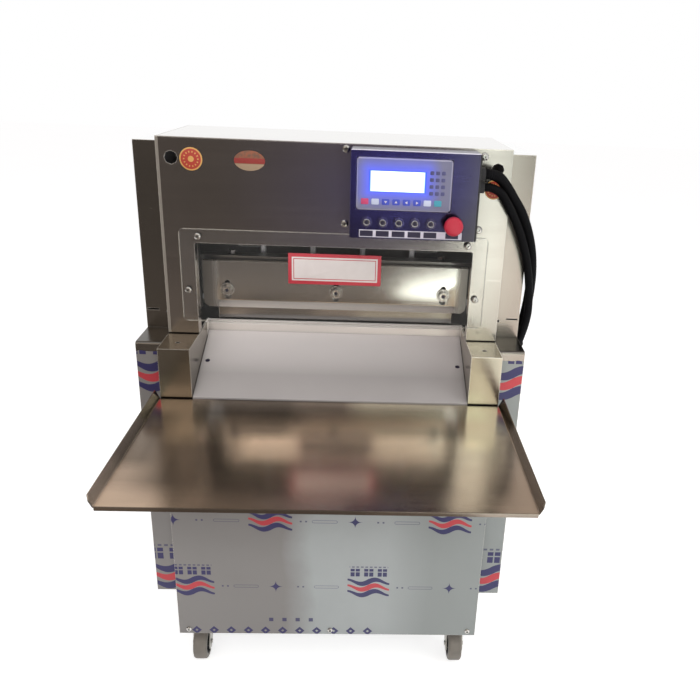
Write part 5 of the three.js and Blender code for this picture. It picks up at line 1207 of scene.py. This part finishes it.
def makeLabelStrip():
    look = SimpleNamespace(**stripLook)
    front = boxLow[1] + look.faceDepth
    top = front - look.rise
    strip = slabMesh("labelStrip", *look.x, *look.z, top, front, 0.0006, 0.0001)
    pieceFrom("labelStrip", strip, solid["palePrint"], "frame")
    tabs = []
    for x in [look.firstTab + look.tabPitch * i for i in range(look.tabs)] + [look.lastTab]:
        ends = (x - look.tabHalf, x + look.tabHalf)
        tabs.append(slabMesh("tab", *ends, *look.tabZ, top - look.tabRise, top, 0.0004, 0))
    pieceFrom("labelTabs", joinedMesh("labelTabs", tabs), solid["ink"], "frame")


for index in range(1, 6):
    makePushButton(index)
makeStopButton()
makeLeadScrew()
for index in range(1, 4):
    makeBladeBolt(index)
for index in range(1, 5):
    makeCasterWheel(index)
makeGrease()
makeDisplay()
makeLabelStrip()
print("controls, bolts and wheels made")


# Round head screws with a hexagon recess
def screwMesh(name, x, front, z, radius, rise):
    return turnedMesh(name, [
        (0, -0.001), (radius, -0.001), (radius, rise * 0.25), (radius * 0.92, rise * 0.6),
        (radius * 0.7, rise * 0.9), (radius * 0.5, rise), (radius * 0.42, rise, "hex"),
        (radius * 0.40, rise * 0.35, "hex"), (0, rise * 0.3)], "-y", (x, front, z), 36)


# board: the place along Y and the height of its lower edge; slope: its rise and its run
boardScrews = dict(at=((-0.253, -0.11234), (0.253, -0.11234)), radius=0.0046, rise=0.0016, sunk=0.0024,
                   board=(-0.205337, 0.669), slope=(0.075, 0.177))


def makeBoardScrews():
    look = SimpleNamespace(**boardScrews)
    tilt = math.atan2(*look.slope)
    turn = Matrix.Rotation(-math.pi / 2 + tilt, 4, "X")
    heads = []
    for x, y in look.at:
        z = look.board[1] + (y - look.board[0]) * math.tan(tilt)
        head = screwMesh("boardScrew", 0, 0, 0, look.radius, look.rise)
        head.transform(Matrix.Translation((x, y, z)) @ turn @ Matrix.Translation((0, look.sunk, 0)))
        heads.append(head)
    pieceFrom("boardScrews", joinedMesh("boardScrews", heads), solid["ink"], "frame")


makeBoardScrews()

screwPlaces = {
    "guardScrews": dict(front=-0.1206, radius=0.0066, rise=0.0036, at=[
        (-0.2576, 0.962), (-0.2806, 0.857), (0.2528, 0.9605), (0.2750, 0.854)]),
    "plateScrews": dict(front=-0.1163, radius=0.0074, rise=0.0042, at=[
        (0.0183, 1.131), (0.2720, 1.127), (0.2713, 0.9917), (0.0174, 0.9948)]),
    "panelScrews": dict(front=-0.2053, radius=0.0060, rise=0.0034, at=[
        (-0.304, 0.111), (0.0033, 0.111), (0.3076, 0.111)]),
}
for name, spot in screwPlaces.items():
    heads = [screwMesh(name, x, spot["front"], z, spot["radius"], spot["rise"]) for x, z in spot["at"]]
    pieceFrom(name, joinedMesh(name, heads), steel["screw"], "frame")

# Stickers on the head plate and the bordered placard on the guard
stickerSpots = {
    "leftSticker": dict(x=-0.2624, z=1.1025, halfX=0.0206, halfZ=0.0206, oval=False),
    "rightSticker": dict(x=0.2944, z=1.0675, halfX=0.0177, halfZ=0.0177, oval=False),
    "ovalSticker": dict(x=-0.1569, z=1.1033, halfX=0.0280, halfZ=0.0180, oval=True),
}
stickerFront = -0.11634
for name, spot in stickerSpots.items():
    mesh = turnedMesh(name, [(0, 0), (1, 0), (1, 0.0003), (0.985, 0.0004), (0, 0.0004)], "-y", (0, 0, 0), 64)
    mesh.transform(Matrix.Diagonal((spot["halfX"], 1, spot["halfZ"], 1)))
    finish = makeSticker(name, spot["halfX"], spot["halfZ"], spot["oval"])
    pieceFrom(name, mesh, finish, "frame").location = (spot["x"], stickerFront, spot["z"])

placard = SimpleNamespace(place=(0.0003, -0.12064, 0.906), halfX=0.0888, halfZ=0.030, thick=0.0012)
plate = slabMesh("placard", -placard.halfX, placard.halfX, -placard.halfZ, placard.halfZ, -placard.thick, 0,
                 0.0012, 0.0002)
face = makePlacardFace(placard.halfX, placard.halfZ)
pieceFrom("placard", plate, face, "frame").location = placard.place
print("screws and stickers made")


def stagePiece(name, corners):
    mesh = meshFrom(name, corners, [(0, 1, 2, 3)])
    piece = bpy.data.objects.new(name, mesh)
    scene.collection.objects.link(piece)
    return piece


# Floor that stays white away from the shadow
floorLook = dict(half=14, tones=((0.79, 0.79, 0.79), (0.81, 0.81, 0.81)), lift=0.66)


def makeFloor():
    half = floorLook["half"]
    corners = [(-half, -half, 0), (half, -half, 0), (half, half, 0), (-half, half, 0)]
    floor = stagePiece("studioFloor", corners)
    material, graph, place = newMaterial("studioFloor", (0.8, 0.8, 0.8))
    floor.data.materials.append(finishMaterial(material, graph, {
        "Base Color": graph.blend(place.noise(1.5, 2.0), *floorLook["tones"]), "Roughness": 1.0,
        "Specular IOR Level": 0.0, "Emission Color": (1, 1, 1),
        "Emission Strength": graph.seenRays() * floorLook["lift"]}))


# Flat cards that only show in reflections, standing for the room in front of the machine
def upright(y, x0, x1, z0, z1):
    return [(x0, y, z0), (x1, y, z0), (x1, y, z1), (x0, y, z1)]


roomCards = {
    "backWall": dict(colour=(0.175, 0.153, 0.14), strength=1.0, corners=upright(-3.2, -5.0, 2.2, 0.0, 1.9)),
    "highWall": dict(colour=(0.95, 0.82, 0.70), strength=2.0, corners=upright(-3.2, -5.0, 1.6, 1.9, 2.75)),
    "topWall": dict(colour=(0.40, 0.34, 0.30), strength=1.0, corners=upright(-3.2, -5.0, 1.6, 2.75, 5.0)),
    "frontFloor": dict(colour=(0.26, 0.22, 0.19), strength=1.0, corners=[
        (-3.0, -3.2, 0.006), (0.42, -3.2, 0.006), (0.42, -0.72, 0.006), (-3.0, -0.72, 0.006)]),
    "leftWall": dict(colour=(0.24, 0.21, 0.19), strength=1.0, corners=[
        (-3.0, -3.2, 0.0), (-3.0, 3.0, 0.0), (-3.0, 3.0, 4.0), (-3.0, -3.2, 4.0)]),
    "rearCeiling": dict(colour=(0.42, 0.36, 0.31), strength=1.4, corners=[
        (-4.0, 1.6, 1.75), (4.0, 1.6, 1.75), (4.0, 0.2, 4.6), (-4.0, 0.2, 4.6)]),
    "rearShade": dict(colour=(0.05, 0.045, 0.04), strength=1.0,
                      corners=upright(0.262, -0.33, 0.33, 0.77, 0.903)),
    "brightDoor": dict(colour=(0.92, 1.0, 0.92), strength=4.7,
                       corners=upright(-1.6, 0.487, 0.62, 0.46, 2.2)),
    "doorFoot": dict(colour=(0.91, 1.0, 0.88), strength=2.25, corners=upright(-1.6, 0.487, 0.62, 0.0, 0.46)),
    "lowDoor": dict(colour=(0.97, 1.0, 0.90), strength=4.4, corners=[
        (0.15, -1.62, 0.27), (0.487, -1.62, 0.27), (0.487, -1.62, 0.455), (0.24, -1.62, 0.40)]),
    "pinkLow": dict(colour=(1.0, 0.84, 0.77), strength=1.55, corners=upright(-1.6, 0.62, 1.3, 0.0, 0.72)),
    "pinkHigh": dict(colour=(0.60, 0.55, 0.50), strength=0.66, corners=upright(-1.6, 0.62, 1.3, 0.72, 2.2)),
}


def makeCard(name, colour, strength, corners):
    card = stagePiece(name, corners)
    material, graph, place = newMaterial(name, colour)
    cloud = place.noise(1.2, 3.0).between(0.3, 0.7)
    tone = graph.blend(cloud, tuple(c * 0.75 for c in colour), colour)
    glow = graph.put("ShaderNodeEmission", None, {"Color": tone, "Strength": strength})
    graph.fill(graph.tree.nodes.new("ShaderNodeOutputMaterial"), {0: glow})
    card.data.materials.append(material)
    for rays in ("camera", "diffuse", "transmission", "shadow", "volume_scatter"):
        setattr(card, "visible_" + rays, False)


lamps = {
    "topLamp": dict(place=(0.2, -0.9, 3.2), target=(0, -0.1, 0.7), size=(2.4, 2.0), power=34,
                    colour=(1.0, 0.97, 0.94)),
    "frontLamp": dict(place=(-1.2, -2.8, 1.9), target=(0, -0.1, 0.6), size=(1.8, 1.8), power=20,
                      colour=(1.0, 0.96, 0.93)),
    "rightLamp": dict(place=(2.4, -1.4, 1.8), target=(0.2, 0, 0.6), size=(1.4, 1.8), power=22,
                      colour=(0.95, 1.0, 0.97)),
    "lowLamp": dict(place=(0.1, -2.2, 0.95), target=(0, 0, 0.72), size=(1.6, 0.5), power=9,
                    colour=(1.0, 0.96, 0.95)),
}


def makeLamp(name, place, target, size, power, colour):
    light = bpy.data.lights.new(name, "AREA")
    light.shape = "RECTANGLE"
    light.size, light.size_y = size
    light.energy = power
    light.color = colour
    lamp = bpy.data.objects.new(name, light)
    lamp.location = place
    lamp.rotation_euler = (Vector(target) - Vector(place)).to_track_quat("-Z", "Y").to_euler()
    lamp.visible_glossy = False
    scene.collection.objects.link(lamp)


worldTones = ((0.42, 0.41, 0.41), (1.0, 1.0, 1.0))


def makeWorld():
    world = bpy.data.worlds.new("studio")
    world.use_nodes = True
    graph = Graph(world.node_tree)
    graph.tree.nodes.clear()
    tone = graph.blend(graph.seenRays(), *worldTones)
    back = graph.put("ShaderNodeBackground", None, {"Color": tone, "Strength": 1.0})
    graph.fill(graph.tree.nodes.new("ShaderNodeOutputWorld"), {0: back})
    scene.world = world


for name, card in roomCards.items():
    makeCard(name, **card)
for name, lamp in lamps.items():
    makeLamp(name, **lamp)
makeFloor()
makeWorld()
scene.view_settings.view_transform = "Standard"
print("stage set")
